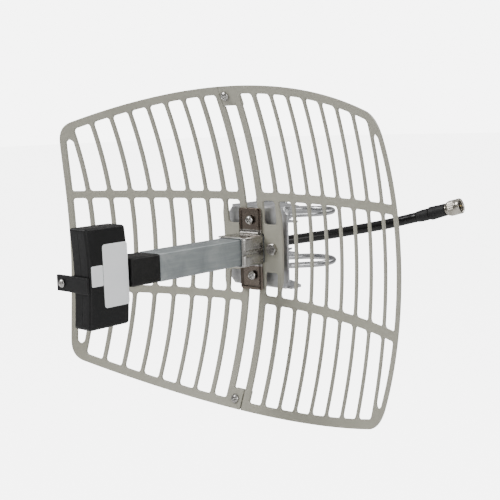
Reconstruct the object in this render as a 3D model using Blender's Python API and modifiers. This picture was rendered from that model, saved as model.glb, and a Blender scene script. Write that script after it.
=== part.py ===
# Die-cast mini grid dish antenna with mast mount.
#
# Frame: +Z up along the mast, origin on the mast axis, level with the dish axis.
# The dish looks along -Y. The clamp that grips the mast is turned 40 degrees
# about the mast, and the dish bracket swivels on two pivot bolts held by it.
# All constants are millimetres and are scaled to metres when a mesh is made.

import math

import bmesh
import bpy
from mathutils import Matrix, Vector, geometry

MM = 0.001

# ----------------------------------------------------------------- dimensions
GAP = 0.3                     # clearance between touching pieces

FOCAL = 161.4                 # focal length of the paraboloid
FLAT_R = 36.0                 # flat disc at the middle of the casting
HALF_W = 200.0                # half width of the reflector at mid height
HALF_H = 148.4                # half height of the reflector at mid width
TOP_A, TOP_B = 0.835e-3, 0.092e-8      # crown of the top and bottom edges
SIDE_A, SIDE_B = 0.5305e-3, 1.868e-8   # bulge of the left and right edges
CORNER_X, CORNER_Z = 176.0, 101.0       # where each corner's curve starts and ends
CAST_T = 2.6                  # depth of the casting
RIM_W, RIM_SIDE_W = 7.0, 5.4
BAR_W = 3.5
BAR_PITCH = 20.75
FIRST_BAR_X = 32.7
BARS = 8
INNER_X0, INNER_X1 = 6.9, 14.3         # inner edge bar of each half
RIB_Z0, RIB_Z1 = 44.4, 51.9
PLATE_X1, PLATE_Z = 36.0, 22.3         # solid centre plate of each half
PLATE_CH0, PLATE_CH1 = 31.0, 39.0
SLOT_R = 3.2
ARM_NOTCH_X, ARM_NOTCH_Z = 13.9, 13.0
LUG_X_TOP, LUG_X_BOTTOM, LUG_Z = -8.3, 5.3, 131.2
LUG_HOLE_X, LUG_HOLE_Z = -2.4, 139.6
PAD_T, LAP_T = 4.5, 2.1                # local depth at the lap, and the front tongue's share
PLATE_BOLT_X = 24.8

ARM_X, ARM_Z = 0.4, -0.5               # arm centre line
ARM_W, ARM_H, ARM_WALL = 26.0, 23.7, 1.6
ARM_Y0, ARM_Y1 = -131.0, 4.7
NECK_Y0 = -161.5

HEAD_X = 10.3                          # half width of the feed head
HEAD_Z0, HEAD_Z1 = -41.0, 38.9
HEAD_Y0, HEAD_Y1 = -204.0, -164.0      # front and back at the ends
HEAD_BOW = 2.2                         # both edges bow back at mid height
HEAD_WALL = 2.0
STRAP_Z0, STRAP_Z1 = -12.0, 1.0
STRAP_X0, STRAP_X1 = -28.6, 10.4

WEB_Y, SHEET = 5.0, 2.5
BRKT_X, BRKT_Z = 36.0, 38.3
LOBE_R = 12.1
PIVOT_DISH = (-23.7, 48.9)             # pivot in the dish frame (vertex at 0,0)
PIVOT_CLAMP = (24.0, -45.3)            # pivot in the clamp frame (mast at 0,0)
CLAMP_ANGLE = math.radians(-40.0)

MB_X, MB_WEB_Y = 36.0, -28.0
MB_Z = 41.2                            # outer face of the mast bracket flanges
MAST_R = 21.1                          # 42.2 mm pipe
UB_IN, UB_ROD = 25.4, 3.0              # U-bolt inner radius and rod radius
UB_Z = (24.2, -26.6)
UB_LEG_END = -41.5

CABLE_R = 4.8
# route of the pigtail behind the dish, in the dish frame
CABLE_ROUTE = ((0.0, 11.2, 0.0), (0.2, 18.0, 0.2), (2.2, 27.0, 0.9), (9.4, 40.5, 2.4),
               (20.6, 54.5, 4.0), (34.6, 69.0, 6.2), (50.4, 82.0, 9.2),
               (67.0, 93.4, 12.4), (84.4, 103.2, 16.2), (100.0, 109.8, 20.3))
CABLE_END = (107.6, 112.2, 22.3)
CONN_DIR = (0.960, 0.100, 0.262)

# --------------------------------------------------------------- scene set-up
for old in list(bpy.data.objects):
    bpy.data.objects.remove(old, do_unlink=True)

scene_root = bpy.context.scene.collection
parts = bpy.data.collections.new("grid_dish_antenna")
cutters = bpy.data.collections.new("cutters")
scene_root.children.link(parts)
scene_root.children.link(cutters)


def material(name, colour, rough, metal):
    m = bpy.data.materials.new(name)
    m.use_nodes = True
    b = m.node_tree.nodes.get("Principled BSDF")
    b.inputs["Base Color"].default_value = (*colour, 1.0)
    b.inputs["Roughness"].default_value = rough
    b.inputs["Metallic"].default_value = metal
    m.diffuse_color = (*colour, 1.0)
    return m


PAINT = ((0.33, 0.32, 0.25), 0.40, 0.0)
ALU = ((0.45, 0.47, 0.48), 0.36, 1.0)
PLASTIC = ((0.012, 0.012, 0.012), 0.45, 0.0)
ZINC = ((0.52, 0.52, 0.57), 0.38, 1.0)
STAINLESS = ((0.50, 0.48, 0.46), 0.30, 1.0)
RUBBER = ((0.010, 0.010, 0.010), 0.55, 0.0)
LABEL = ((0.68, 0.71, 0.72), 0.40, 0.0)
BOARD = ((0.05, 0.22, 0.10), 0.50, 0.0)
COPPER = ((0.75, 0.40, 0.24), 0.35, 1.0)
NICKEL = ((0.60, 0.56, 0.50), 0.28, 1.0)
BRASS = ((0.80, 0.60, 0.25), 0.25, 1.0)
PTFE = ((0.85, 0.85, 0.82), 0.50, 0.0)

# ------------------------------------------------------------ frames (empties)
def empty(name, loc, rot_z, parent):
    e = bpy.data.objects.new(name, None)
    e.empty_display_size = 0.02
    parts.objects.link(e)
    e.location = Vector(loc) * MM
    e.rotation_euler = (0.0, 0.0, rot_z)
    if parent:
        e.parent = parent
    return e


clamp_frame = empty("clamp_frame", (0, 0, 0), CLAMP_ANGLE, None)
swivel_axis = empty("swivel_axis", (PIVOT_CLAMP[0], PIVOT_CLAMP[1], 0),
                    -CLAMP_ANGLE, clamp_frame)
dish_frame = empty("dish_frame", (-PIVOT_DISH[0], -PIVOT_DISH[1], 0), 0.0, swivel_axis)

# ------------------------------------------------------------------- builders
def add(name, mesh, parent, finish=None, cutter=False, loc=None, rot=None):
    o = bpy.data.objects.new(name, mesh)
    (cutters if cutter else parts).objects.link(o)
    if cutter:
        o.hide_render = True
        o.display_type = 'WIRE'
    elif finish:
        mesh.materials.clear()
        mesh.materials.append(material(name + "_finish", *finish))
    o.parent = parent
    if loc is not None:
        o.location = Vector(loc) * MM
    if rot is not None:
        o.rotation_euler = rot
    return o


def bake(bm, name, smooth=None):
    for v in bm.verts:
        v.co *= MM
    bmesh.ops.recalc_face_normals(bm, faces=bm.faces)
    if bm.calc_volume(signed=True) < 0:
        bmesh.ops.reverse_faces(bm, faces=bm.faces)
    me = bpy.data.meshes.new(name)
    bm.to_mesh(me)
    bm.free()
    if smooth:
        me.shade_smooth()
        me.set_sharp_from_angle(angle=math.radians(smooth))
    return me


def box_mesh(name, lo, hi, bevel=0.0, segs=1):
    bm = bmesh.new()
    bmesh.ops.create_cube(bm, size=1.0)
    for v in bm.verts:
        for i in range(3):
            v.co[i] = lo[i] if v.co[i] < 0 else hi[i]
    if bevel:
        bmesh.ops.bevel(bm, geom=bm.edges[:], offset=bevel, segments=segs,
                        profile=0.5, affect='EDGES')
    return bake(bm, name)


AXES = {'X': Matrix.Rotation(math.radians(90), 4, 'Y'),
        'Y': Matrix.Rotation(math.radians(-90), 4, 'X'),
        'Z': Matrix.Identity(4)}


def cyl_mesh(name, radius, p0, length, axis='Z', segs=24, turn=0.0):
    """Cylinder from the point p0 along +axis for length."""
    bm = bmesh.new()
    bmesh.ops.create_cone(bm, cap_ends=True, segments=segs, radius1=radius,
                          radius2=radius, depth=length)
    bmesh.ops.rotate(bm, verts=bm.verts, matrix=Matrix.Rotation(turn, 3, 'Z'))
    bmesh.ops.translate(bm, verts=bm.verts, vec=(0, 0, length / 2))
    bmesh.ops.transform(bm, verts=bm.verts, matrix=AXES[axis])
    bmesh.ops.translate(bm, verts=bm.verts, vec=p0)
    return bake(bm, name, 40)


def outline_mesh(name, loops, thick, shape):
    """Flat outline with holes, thick mm deep, each vertex placed by shape(x, y, z)."""
    cu = bpy.data.curves.new(name + "_outline", 'CURVE')
    cu.dimensions = '2D'
    cu.fill_mode = 'BOTH'
    cu.extrude = thick / 2
    for loop in loops:
        sp = cu.splines.new('POLY')
        sp.points.add(len(loop) - 1)
        for p, (a, b) in zip(sp.points, loop):
            p.co = (a, b, 0.0, 1.0)
        sp.use_cyclic_u = True
    ob = bpy.data.objects.new(name + "_outline", cu)
    scene_root.objects.link(ob)
    dg = bpy.context.evaluated_depsgraph_get()
    me = bpy.data.meshes.new_from_object(ob.evaluated_get(dg))
    bpy.data.objects.remove(ob, do_unlink=True)
    bm = bmesh.new()
    bm.from_mesh(me)
    bpy.data.meshes.remove(me)
    bmesh.ops.remove_doubles(bm, verts=bm.verts, dist=1e-4)
    for v in bm.verts:
        v.co = Vector(shape(v.co.x, v.co.y, v.co.z + thick / 2))
    return bake(bm, name)


def sheet_mesh(name, loops, thick, shape):
    """Like outline_mesh, with the same triangles on both faces, so that a thin sheet
    keeps its full thickness after shape has curved it."""
    loops = [list(lp) for lp in loops]
    for i, lp in enumerate(loops):
        turn = sum(p[0] * q[1] - q[0] * p[1] for p, q in zip(lp, lp[1:] + lp[:1]))
        if (turn > 0) != (i == 0):
            lp.reverse()
    flat = [Vector(p) for lp in loops for p in lp]
    edges, k = [], 0
    for lp in loops:
        edges += [(k + i, k + (i + 1) % len(lp)) for i in range(len(lp))]
        k += len(lp)
    out, _, tris, source, _, _ = geometry.delaunay_2d_cdt(flat, edges, [], 1, 1e-7)

    def in_hole(x, y):
        for lp in loops[1:]:
            inside = False
            for (ax, ay), (bx, by) in zip(lp, lp[1:] + lp[:1]):
                if (ay > y) != (by > y) and x < (bx - ax) * (y - ay) / (by - ay) + ax:
                    inside = not inside
            if inside:
                return True
        return False

    bm = bmesh.new()
    back = [bm.verts.new(shape(p.x, p.y, 0.0)) for p in flat]
    front = [bm.verts.new(shape(p.x, p.y, thick)) for p in flat]
    for t in tris:
        c = sum((out[i] for i in t), Vector((0.0, 0.0))) / len(t)
        ids = [source[i][0] for i in t if source[i]]
        if len(ids) == 3 and not in_hole(c.x, c.y):
            bm.faces.new([front[i] for i in ids])
            bm.faces.new([back[i] for i in reversed(ids)])
    for a, b in edges:
        bm.faces.new((front[a], back[a], back[b], front[b]))
    return bake(bm, name)


def prism(name, loops, lo, hi, axis):
    """Outline extruded from lo to hi along an axis (outline is YZ, XZ or XY)."""
    t = hi - lo
    if axis == 'X':
        f = lambda u, v, w: (lo + w, u, v)
    elif axis == 'Y':
        f = lambda u, v, w: (u, hi - w, v)
    else:
        f = lambda u, v, w: (u, v, lo + w)
    return outline_mesh(name, loops, t, f)


def turned_mesh(name, profile, segs, axis='Z', at=(0, 0, 0)):
    """Profile (r, z) from the top of the axis to its bottom, turned by a Screw."""
    bm = bmesh.new()
    vs = [bm.verts.new((r * MM, 0, z * MM)) for r, z in profile]
    for a, b in zip(vs, vs[1:]):
        bm.edges.new((a, b))
    me = bpy.data.meshes.new(name + "_profile")
    bm.to_mesh(me)
    bm.free()
    ob = bpy.data.objects.new(name + "_profile", me)
    scene_root.objects.link(ob)
    s = ob.modifiers.new("turn", 'SCREW')
    s.steps = segs
    s.render_steps = segs
    s.use_merge_vertices = True
    s.merge_threshold = 1e-6
    dg = bpy.context.evaluated_depsgraph_get()
    out = bpy.data.meshes.new_from_object(ob.evaluated_get(dg))
    bpy.data.objects.remove(ob, do_unlink=True)
    bm = bmesh.new()
    bm.from_mesh(out)
    bpy.data.meshes.remove(out)
    bmesh.ops.remove_doubles(bm, verts=bm.verts, dist=1e-7)
    for v in bm.verts:
        v.co = v.co / MM
    bmesh.ops.transform(bm, verts=bm.verts, matrix=AXES[axis])
    bmesh.ops.translate(bm, verts=bm.verts, vec=at)
    return bake(bm, name, 40)


def tube_mesh(name, pts, radius, bevel_res=2):
    cu = bpy.data.curves.new(name + "_path", 'CURVE')
    cu.dimensions = '3D'
    cu.bevel_depth = radius * MM
    cu.bevel_resolution = bevel_res
    cu.use_fill_caps = True
    sp = cu.splines.new('POLY')
    sp.points.add(len(pts) - 1)
    for p, c in zip(sp.points, pts):
        p.co = (c[0] * MM, c[1] * MM, c[2] * MM, 1.0)
    ob = bpy.data.objects.new(name + "_path", cu)
    scene_root.objects.link(ob)
    dg = bpy.context.evaluated_depsgraph_get()
    me = bpy.data.meshes.new_from_object(ob.evaluated_get(dg))
    bpy.data.objects.remove(ob, do_unlink=True)
    bm = bmesh.new()
    bm.from_mesh(me)
    bpy.data.meshes.remove(me)
    bmesh.ops.remove_doubles(bm, verts=bm.verts, dist=1e-6)
    for v in bm.verts:
        v.co = v.co / MM
    return bake(bm, name, 60)


def boolean(target, tool, how='DIFFERENCE'):
    m = target.modifiers.new(how.lower(), 'BOOLEAN')
    m.operation = how
    m.solver = 'EXACT'
    m.object = tool
    return m


def arc(cx, cy, r, a0, a1, n):
    return [(cx + r * math.cos(math.radians(a0 + (a1 - a0) * i / n)),
             cy + r * math.sin(math.radians(a0 + (a1 - a0) * i / n)))
            for i in range(n + 1)]


def circle(cx, cy, r, n):
    return arc(cx, cy, r, 0.0, 360.0 * (n - 1) / n, n - 1)


def smooth_route(pts, step):
    """Centripetal spline through pts, sampled about every step mm."""
    p = [Vector(q) for q in pts]
    p = [p[0] * 2 - p[1]] + p + [p[-1] * 2 - p[-2]]
    dense = []
    for i in range(1, len(p) - 2):
        a, b, c, d = p[i - 1:i + 3]
        t0 = 0.0
        t1 = t0 + math.sqrt((b - a).length)
        t2 = t1 + math.sqrt((c - b).length)
        t3 = t2 + math.sqrt((d - c).length)
        for k in range(24):
            t = t1 + (t2 - t1) * k / 24
            A1 = a * ((t1 - t) / (t1 - t0)) + b * ((t - t0) / (t1 - t0))
            A2 = b * ((t2 - t) / (t2 - t1)) + c * ((t - t1) / (t2 - t1))
            A3 = c * ((t3 - t) / (t3 - t2)) + d * ((t - t2) / (t3 - t2))
            B1 = A1 * ((t2 - t) / (t2 - t0)) + A2 * ((t - t0) / (t2 - t0))
            B2 = A2 * ((t3 - t) / (t3 - t1)) + A3 * ((t - t1) / (t3 - t1))
            dense.append(B1 * ((t2 - t) / (t2 - t1)) + B2 * ((t - t1) / (t2 - t1)))
    dense.append(p[-2])
    total = sum((y - x).length for x, y in zip(dense, dense[1:]))
    n = max(2, round(total / step))
    out, want, run = [dense[0]], total / n, 0.0
    for x, y in zip(dense, dense[1:]):
        seg = (y - x).length
        while run + seg >= want * len(out) - 1e-9 and len(out) < n:
            out.append(x.lerp(y, (want * len(out) - run) / seg))
        run += seg
    out.append(dense[-1])
    return out

# ------------------------------------------------------------------ reflector
def top_edge(x):
    return HALF_H - TOP_A * x * x - TOP_B * x ** 4


def side_edge(z):
    return HALF_W - SIDE_A * z * z - SIDE_B * z ** 4


def dish_y(x, z):
    return -max(x * x + z * z, FLAT_R ** 2) / (4 * FOCAL)


plate_y = dish_y(0.0, 0.0)             # front face of the centre plates


def corner_curve(n):
    """Points inside the rounded top right corner, from the top edge to the side."""
    ax, az = CORNER_X, top_edge(CORNER_X)
    bx, bz = side_edge(CORNER_Z), CORNER_Z
    ta = (top_edge(ax + 0.5) - top_edge(ax - 0.5))
    tb = (side_edge(bz + 0.5) - side_edge(bz - 0.5))
    # the control point is where the two edges' tangents meet
    t = ((az - bz) + ta * (bx - ax)) / (1 - ta * tb)
    cx, cz = bx + tb * t, bz + t
    out = []
    for i in range(1, n):
        u = i / n
        out.append((ax * (1 - u) ** 2 + 2 * cx * u * (1 - u) + bx * u * u,
                    az * (1 - u) ** 2 + 2 * cz * u * (1 - u) + bz * u * u))
    return out


def bar_x(k):
    return FIRST_BAR_X + BAR_PITCH * (k - 1)


def slot(left, right, bottom, top, rise=3, extra=()):
    """Rounded slot between four edges; left and right are functions of z."""
    r = SLOT_R
    zb, zt = bottom(left(bottom(0))), top(left(top(0)))
    if right(zt) - left(zt) < 2 * r:
        r_t = (right(zt) - left(zt)) / 2
    q = r * 0.293
    pts = []

    def corner(x_of, sx, z_of, sz, seq):
        for dx, dz in seq:
            z0 = z_of(x_of(z_of(0)))
            x = x_of(z0 + sz * dz) + sx * dx
            pts.append((x, z_of(x) + sz * dz))

    corner(left, 1, bottom, 1, ((0, r), (q, q), (r, 0)))
    corner(right, -1, bottom, 1, ((r, 0), (q, q), (0, r)))
    z0, z1 = pts[-1][1], top(right(top(0))) - r
    for i in range(1, rise + 1):
        z = z0 + (z1 - z0) * i / (rise + 1)
        pts.append((right(z), z))
    corner(right, -1, top, -1, ((0, r), (q, q), (r, 0)))
    corner(left, 1, top, -1, ((r, 0), (q, q), (0, r)))
    z0, z1 = pts[-1][1], pts[0][1]
    zs = [z0 + (z1 - z0) * i / (rise + 1) for i in range(1, rise + 1)]
    zs = sorted(set(zs) | set(extra), reverse=True)
    for z in zs:
        pts.append((left(z), z))
    return pts


def half_outline():
    """Outer loop of the right-hand casting, counter-clockwise seen from the front."""
    edge = []
    n = 12
    # bottom edge from the middle to the corner, then the side, then the top edge
    xs = [INNER_X0 + (CORNER_X - INNER_X0) * i / n for i in range(n + 1)]
    edge += [(x, -top_edge(x)) for x in xs]
    zs = [-CORNER_Z + 2 * CORNER_Z * i / n for i in range(n + 1)]
    curve = corner_curve(6)
    edge += [(x, -z) for x, z in curve]
    edge += [(side_edge(z), z) for z in zs]
    edge += reversed(curve)
    edge += [(x, top_edge(x)) for x in reversed(xs)]
    z_side = [125.0, 100.0, 75.0, 50.0, 30.0]
    edge += [(INNER_X0, z) for z in z_side]
    edge += [(INNER_X0, ARM_NOTCH_Z), (ARM_NOTCH_X, ARM_NOTCH_Z),
             (ARM_NOTCH_X, -ARM_NOTCH_Z), (INNER_X0, -ARM_NOTCH_Z)]
    edge += [(INNER_X0, -z) for z in reversed(z_side)]
    return edge


def half_slots():
    loops = []
    inner_top = lambda x: top_edge(x) - RIM_W * 1.02
    inner_side = lambda z: side_edge(z) - RIM_SIDE_W
    for k in range(0, BARS + 1):
        x0 = INNER_X1 if k == 0 else bar_x(k) + BAR_W / 2
        x1 = bar_x(k + 1) - BAR_W / 2 - (1.1 if k == 0 else 0)
        if k < BARS:
            left = lambda z, x0=x0: x0
            right = lambda z, x1=x1: x1
            mid_x = (x0 + x1) / 2
            up = slot(left, right, lambda x: RIB_Z1,
                      lambda x, m=mid_x: inner_top(x if x > 1 else m), 3)
            loops.append(up)
            loops.append([(x, -z) for x, z in reversed(up)])
            if k == 0:
                for s in (1, -1):
                    w = slot(left, right, lambda x: PLATE_Z, lambda x: RIB_Z0, 0)
                    loops.append(w if s > 0 else [(x, -z) for x, z in reversed(w)])
            elif k == 1:
                def plate(z, x0=x0):
                    z = abs(z)
                    t = min(1.0, max(0.0, (z - PLATE_CH0) / (PLATE_CH1 - PLATE_CH0)))
                    return PLATE_X1 + (x0 - PLATE_X1) * t
                loops.append(slot(plate, right, lambda x: -RIB_Z0, lambda x: RIB_Z0,
                                  3, (-PLATE_CH1, -PLATE_CH0, PLATE_CH0, PLATE_CH1)))
            else:
                loops.append(slot(left, right, lambda x: -RIB_Z0, lambda x: RIB_Z0, 3))
        else:
            # narrow slot between the last bar and the rim
            mid = [(x0, z) for z in (-41.5, -22, 0, 22, 41.5)]
            out = [(inner_side(z), z) for z in (41.5, 22, 0, -22, -41.5)]
            loops.append([(x0 + 3, -RIB_Z0)] + [(inner_side(-RIB_Z0) - 3, -RIB_Z0)]
                         + list(reversed(out)) + [(inner_side(RIB_Z0) - 3, RIB_Z0)]
                         + [(x0 + 3, RIB_Z0)] + list(reversed(mid)))
            tip = 103.0
            up = [(x0 + 3, RIB_Z1), (inner_side(RIB_Z1) - 3, RIB_Z1)]
            up += [(inner_side(z), z) for z in (55.0, 72.0, 88.0, tip - 1.5)]
            up += [((inner_side(tip) + x0) / 2, tip + 1.2)]
            up += [(x0, z) for z in (tip - 1.5, 88.0, 72.0, 55.0)]
            loops.append(up)
            loops.append([(x, -z) for x, z in reversed(up)])
    return loops


def sheared(x, z, depth):
    return (x, dish_y(x, z) + depth, z)


def lap_pose(s):
    """Place and direction of the lap screw at the top (s=1) or bottom (s=-1)."""
    base = Vector((LUG_HOLE_X, dish_y(LUG_HOLE_X, LUG_HOLE_Z), s * LUG_HOLE_Z))
    tilt = math.atan(2 * LUG_HOLE_Z / (4 * FOCAL)) * s
    n = Vector((0, -math.cos(tilt), -math.sin(tilt)))
    return base, n, (math.radians(90) + tilt, 0, 0)


def make_half(name, side):
    """side +1 is the right casting; the left one is the same turned 180 degrees."""
    loops = [half_outline()] + half_slots()
    if side < 0:
        loops = [[(-x, -z) for x, z in lp] for lp in loops]
    me = sheet_mesh(name, loops, CAST_T,
                    lambda u, v, w: sheared(u, v, CAST_T - w))
    ob = add(name, me, dish_frame, PAINT)

    def lug(tag, end, reach, d0, d1, start=9.0, skin=0.05):
        """Tongue at the top (end 1) or bottom (end -1) from this half to x = reach."""
        x0 = side * start
        xs = [x0 + (reach - x0) * i / 4 for i in range(5)]
        lp = [(x0, end * LUG_Z), *[(x, end * (top_edge(x) - skin)) for x in xs],
              (reach, end * LUG_Z)]
        m = sheet_mesh(name + tag, [lp], d1 - d0,
                       lambda u, v, w: sheared(u, v, d1 - w))
        boolean(ob, add(name + tag, m, dish_frame, cutter=True), 'UNION')

    # both ends of the inner bar are thicker, and the halves lap there:
    # the right half over the left at the top, and the left over the right below
    if side < 0:
        m = sheet_mesh("lap_rebate", [[(LUG_X_TOP - GAP, LUG_Z - GAP), (-5.0, LUG_Z - GAP),
                         (-5.0, 155.0), (LUG_X_TOP - GAP, 155.0)]], LAP_T + GAP + 2,
                         lambda u, v, w: sheared(u, v, LAP_T + GAP - 0.05 - w))
        boolean(ob, add("lap_rebate", m, dish_frame, cutter=True))
    for end in (1, -1):
        lug(f"_pad_{end}", end, side * (INNER_X0 + 0.2), LAP_T + GAP, PAD_T, 13.6, 0.3)
    if side > 0:
        lug("_front_lug", 1, LUG_X_TOP, 0.05, LAP_T)
        lug("_rear_lug", -1, -INNER_X0 + GAP, LAP_T + GAP, PAD_T)
    else:
        lug("_front_lug", -1, LUG_X_BOTTOM, 0.05, LAP_T)
        lug("_rear_lug", 1, INNER_X0 - GAP, LAP_T + GAP, PAD_T)
    boss = add(name + "_boss", cyl_mesh(name + "_boss", 7.0,
               (side * PLATE_BOLT_X, -0.5, 0), WEB_Y - GAP + 0.5, 'Y', 24),
               dish_frame, cutter=True)
    boolean(ob, boss, 'UNION')
    c = add(name + "_bolt_hole", cyl_mesh(name + "_bolt_hole", 3.4,
            (side * PLATE_BOLT_X, -60, 0), 80, 'Y', 16), dish_frame, cutter=True)
    boolean(ob, c)
    for s in (1, -1):
        base, n, rot = lap_pose(s)
        c = add(f"{name}_lap_hole_{s}", cyl_mesh(name + "_lap_hole", 2.7, (0, 0, -20), 40,
                'Z', 16), dish_frame, cutter=True, loc=base, rot=rot)
        boolean(ob, c)
    return ob


make_half("reflector_right", 1)
make_half("reflector_left", -1)

# ------------------------------------------------------------------ fasteners
def hex_bolt(name, af, head, shank_r, length, loc, rot, parent, finish, washer=0.0):
    """Hex bolt: head from z=0 up, shank from z=0 down, placed by loc and rot."""
    r = af / 2 / math.cos(math.pi / 6)
    ob = add(name, cyl_mesh(name, r, (0, 0, washer / 2), head + washer / 2, 'Z', 6),
             parent, finish, loc=loc, rot=rot)
    prof = [(0, washer + head * 0.5), (shank_r, washer + head * 0.5)]
    if washer:
        prof = [(0, washer + head * 0.5), (shank_r, washer + head * 0.5),
                (shank_r, washer), (af * 0.68, washer), (af * 0.68, 0), (shank_r, 0)]
    prof += [(shank_r, -length + 0.6), (shank_r - 0.6, -length), (0, -length)]
    sh = add(name + "_shank", turned_mesh(name + "_shank", prof, 16), parent,
             cutter=True, loc=loc, rot=rot)
    boolean(ob, sh, 'UNION')
    return ob


def pan_screw(name, head_r, head_h, shank_r, length, loc, rot, parent, finish):
    prof = [(0, head_h), (head_r * 0.55, head_h * 0.96), (head_r * 0.88, head_h * 0.7),
            (head_r, head_h * 0.3), (head_r, 0), (shank_r, 0), (shank_r, -length + 0.5),
            (shank_r - 0.5, -length), (0, -length)]
    ob = add(name, turned_mesh(name, prof, 20), parent, finish, loc=loc, rot=rot)
    for i, (a, b) in enumerate(((head_r * 0.62, 0.5), (0.5, head_r * 0.62))):
        c = add(f"{name}_recess_{i}", box_mesh(name, (-a, -b, head_h * 0.45),
                (a, b, head_h + 1)), parent, cutter=True, loc=loc, rot=rot)
        boolean(ob, c)
    return ob


def nut(name, af, height, hole_r, loc, rot, parent, finish):
    r = af / 2 / math.cos(math.pi / 6)
    hexa = circle(0, 0, r, 6)
    hole = list(reversed(circle(0, 0, hole_r, 12)))
    return add(name, prism(name, [hexa, hole], 0, height, 'Z'), parent, finish,
               loc=loc, rot=rot)


def washer(name, r_out, r_in, height, loc, rot, parent, finish):
    return add(name, prism(name, [circle(0, 0, r_out, 20),
               list(reversed(circle(0, 0, r_in, 12)))], 0, height, 'Z'),
               parent, finish, loc=loc, rot=rot)


FRONT = (math.radians(90), 0, 0)      # local +Z looks along -Y
BACK = (math.radians(-90), 0, 0)      # local +Z looks along +Y
UP = (0, 0, 0)
DOWN = (math.radians(180), 0, 0)

# lap screws at the top and bottom of the seam
for tag, s in (("top", 1), ("bottom", -1)):
    # the lugs slope with the dish, so screw and nut follow its normal
    base, n, rot = lap_pose(s)
    pan_screw("lap_screw_" + tag, 4.4, 2.8, 2.3, 10.5, base + n * (GAP + 0.3), rot,
              dish_frame, STAINLESS)
    nut("lap_nut_" + tag, 8.0, 3.2, 2.6, base - n * (PAD_T * -n.y + GAP + 0.3 + 3.2),
        rot, dish_frame, STAINLESS)

# ---------------------------------------------------------------- dish bracket
def u_profile(y0, y1, z, t, sign=1):
    """U section in YZ: web at y0, flanges to y1, outer half height z."""
    ro, ri = 3.4, 0.9
    s = sign
    out = [(y1, -z)]
    out += [(y0 + s * (ro - ro * math.sin(math.radians(a))),
             -z + (ro - ro * math.cos(math.radians(a)))) for a in (0, 30, 60, 90)]
    out += [(y0 + s * (ro - ro * math.sin(math.radians(a))),
             z - (ro - ro * math.cos(math.radians(a)))) for a in (90, 60, 30, 0)]
    out += [(y1, z), (y1, z - t)]
    out += [(y0 + s * (t + ri - ri * math.sin(math.radians(a))),
             z - t - (ri - ri * math.cos(math.radians(a)))) for a in (0, 45, 90)]
    out += [(y0 + s * (t + ri - ri * math.sin(math.radians(a))),
             -z + t + (ri - ri * math.cos(math.radians(a)))) for a in (90, 45, 0)]
    out += [(y1, -z + t)]
    return out


px, py = PIVOT_DISH
flange = [(-BRKT_X, WEB_Y - 2), (BRKT_X, WEB_Y - 2), (BRKT_X, 24.0), (14.0, 38.0),
          (-2.0, 41.5), (-11.0, 41.5)]
flange += arc(px, py, LOBE_R, -28, 180, 12)
dish_bracket = add("dish_bracket", prism("dish_bracket",
                   [u_profile(WEB_Y, py + LOBE_R + 1, BRKT_Z, SHEET)],
                   -BRKT_X - 1, BRKT_X + 1, 'X'), dish_frame, ZINC)
plan = add("dish_bracket_plan", prism("dish_bracket_plan", [flange], -60, 60, 'Z'),
           dish_frame, cutter=True)
boolean(dish_bracket, plan, 'INTERSECT')
for sx in (1, -1):
    for sz in (1, -1):
        tri = [(sx * (BRKT_X - 6.4), sz * (BRKT_Z + 1)), (sx * (BRKT_X + 1), sz * (BRKT_Z + 1)),
               (sx * (BRKT_X + 1), sz * (BRKT_Z - 8.2))]
        if sx * sz < 0:
            tri.reverse()
        c = add(f"bracket_corner_{sx}_{sz}", prism("bracket_corner", [tri],
                WEB_Y - 1, WEB_Y + 5.0, 'Y'), dish_frame, cutter=True)
        boolean(dish_bracket, c)
for i, (x, z, r) in enumerate(((PLATE_BOLT_X, 0, 3.4), (-PLATE_BOLT_X, 0, 3.4),
                               (0, 0, 8.0))):
    c = add(f"bracket_hole_{i}", cyl_mesh("bracket_hole", r, (x, 0, z), 20, 'Y', 20),
            dish_frame, cutter=True)
    boolean(dish_bracket, c)
c = add("bracket_pivot_hole", cyl_mesh("bracket_pivot_hole", 3.4, (px, py, -60), 120,
        'Z', 20), dish_frame, cutter=True)
boolean(dish_bracket, c)

for tag, s in (("right", 1), ("left", -1)):
    hex_bolt("plate_bolt_" + tag, 10.0, 3.6, 2.95, 20.0,
             (s * PLATE_BOLT_X, plate_y - GAP, 0), FRONT, dish_frame, STAINLESS)
    washer("plate_washer_" + tag, 6.0, 3.25, 1.4,
           (s * PLATE_BOLT_X, WEB_Y + SHEET + GAP, 0), BACK, dish_frame, STAINLESS)
    nut("plate_nut_" + tag, 10.0, 5.0, 3.25,
        (s * PLATE_BOLT_X, WEB_Y + SHEET + GAP * 2 + 1.4, 0), BACK, dish_frame, STAINLESS)

# ------------------------------------------------------------ feed arm, clamp
ax0, ax1 = ARM_X - ARM_W / 2, ARM_X + ARM_W / 2
az0, az1 = ARM_Z - ARM_H / 2, ARM_Z + ARM_H / 2


def rect(x0, x1, z0, z1, r, n=3):
    return (arc(x1 - r, z0 + r, r, -90, 0, n) + arc(x1 - r, z1 - r, r, 0, 90, n)
            + arc(x0 + r, z1 - r, r, 90, 180, n) + arc(x0 + r, z0 + r, r, 180, 270, n))


def rev(lp):
    return list(reversed(lp))


w = ARM_WALL
feed_arm = add("feed_arm", prism("feed_arm", [rect(ax0, ax1, az0, az1, 1.4),
               rev(rect(ax0 + w, ax1 - w, az0 + w, az1 - w, 0.6, 2))], ARM_Y0, ARM_Y1, 'Y'),
               dish_frame, ALU)

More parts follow.
